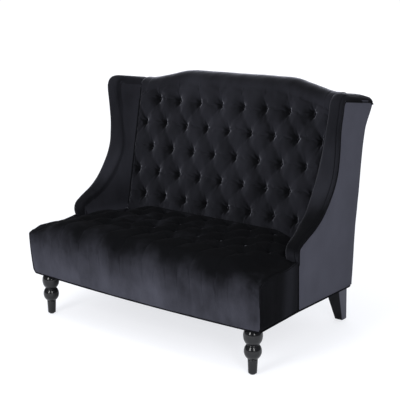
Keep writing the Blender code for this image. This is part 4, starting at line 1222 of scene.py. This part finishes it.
def lift_for_camera(nodes, links, shader):
    """Mixes a plain glow into the floor's shader for the camera alone, and nearly all glow far away."""
    path = nodes.new("ShaderNodeLightPath")
    place = nodes.new("ShaderNodeTexCoord")
    reach = nodes.new("ShaderNodeVectorMath")
    reach.operation = "LENGTH"
    links.new(place.outputs["Object"], reach.inputs[0])
    fade = add_node(nodes, "ShaderNodeMapRange", From_Min=1.5, From_Max=5.0,
                    To_Min=floor_glow_share, To_Max=0.98)
    fade.interpolation_type = "SMOOTHSTEP"
    links.new(reach.outputs["Value"], fade.inputs["Value"])
    glow = add_node(nodes, "ShaderNodeEmission", Color=floor_glow)
    fact = nodes.new("ShaderNodeMath")
    fact.operation = "MULTIPLY"
    links.new(path.outputs["Is Camera Ray"], fact.inputs[0])
    links.new(fade.outputs["Result"], fact.inputs[1])
    mix = nodes.new("ShaderNodeMixShader")
    links.new(fact.outputs["Value"], mix.inputs["Fac"])
    links.new(shader, mix.inputs[1])
    links.new(glow.outputs["Emission"], mix.inputs[2])
    return mix.outputs["Shader"]


def add_aimed(name, data, place, ahead):
    """A lamp or camera at a place, that looks ahead."""
    thing = add_object(name, data)
    thing.location = place
    thing.rotation_mode = "QUATERNION"
    thing.rotation_quaternion = ahead.to_track_quat("-Z", "Y")
    return thing


def add_stage():
    """A pale floor, a white backdrop for the camera, and three soft lamps."""
    span = 14.0
    mesh = bpy.data.meshes.new("floor")
    corners = [(-span, -span, 0), (span, -span, 0), (span, span, 0), (-span, span, 0)]
    mesh.from_pydata(corners, [], [(0, 1, 2, 3)])
    material, nodes, links, shader = node_material("pale_floor", 0.9)
    set_inputs(shader, Base_Color=floor_tint, Specular_IOR_Level=0.1)
    lit = lift_for_camera(nodes, links, shader.outputs["BSDF"])
    links.new(lit, nodes["Material Output"].inputs["Surface"])
    mesh.materials.append(material)
    floor = add_object("floor", mesh)
    world = bpy.data.worlds.new("studio")
    bpy.context.scene.world = world
    world.use_nodes = True
    nodes = world.node_tree.nodes
    links = world.node_tree.links
    sky = nodes["Background"]
    set_inputs(sky, Color=sky_tint, Strength=0.75)
    dim = add_node(nodes, "ShaderNodeBackground", Color=sky_tint, Strength=0.15)
    white = add_node(nodes, "ShaderNodeBackground", Color=(1, 1, 1, 1), Strength=1.05)
    path = nodes.new("ShaderNodeLightPath")
    seen = sky.outputs["Background"]
    for rays, other in (("Is Glossy Ray", dim), ("Is Camera Ray", white)):
        mix = nodes.new("ShaderNodeMixShader")
        links.new(path.outputs[rays], mix.inputs["Fac"])
        links.new(seen, mix.inputs[1])
        links.new(other.outputs["Background"], mix.inputs[2])
        seen = mix.outputs["Shader"]
    links.new(seen, nodes["World Output"].inputs["Surface"])
    lamps = (
        ("key", (0.1, -4.2, 2.2), (0.9, 2.6), 110.0),
        ("fill", (3.2, -2.4, 2.2), (0.8, 2.6), 70.0),
        ("top", (-0.4, -0.6, 3.8), (2.6, 2.6), 60.0),
    )
    for name, place, size, power in lamps:
        lamp = bpy.data.lights.new(name, "AREA")
        lamp.shape = "RECTANGLE"
        lamp.size, lamp.size_y = size
        lamp.energy = power
        add_aimed(name, lamp, place, Vector(lamp_target) - Vector(place))


def add_camera():
    data = bpy.data.cameras.new("photo_camera")
    data.sensor_width = sensor
    data.lens = focal_pixels / photo_side * sensor
    data.clip_end = 60
    place = (camera_place[0], camera_place[1] + centre_shift, camera_place[2])
    ahead = Vector((
        -math.sin(camera_azimuth) * math.cos(camera_pitch),
        math.cos(camera_azimuth) * math.cos(camera_pitch),
        -math.sin(camera_pitch),
    ))
    bpy.context.scene.camera = add_aimed("photo_camera", data, place, ahead)


def paint_cad():
    """Gives each CAD node its material: bare hardwood, unless its name is in the table."""
    looks = {
        "rear_leg": rear_lacquer, "wing_board": plywood, "seat_spring": wire, "leg_plate": zinc,
        "leg_bolt": zinc, "back_web": jute, "seat_deck": jute, "seat_foam": foam, "dust_cover": lining,
        "floor_glide": nylon,
    }
    for name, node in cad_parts.items():
        look = next((value for key, value in looks.items() if name.startswith(key)), hardwood)
        node.data.materials.clear()
        node.data.materials.append(look)


add_camera()
paint_cad()
add_back()
add_seat()
for side, sign in both_sides:
    add_wing(side, sign)
    add_leg(side, sign)
add_outside_back()
add_trim()
add_stage()
bpy.context.scene.view_settings.view_transform = "Standard"
bpy.context.view_layer.update()
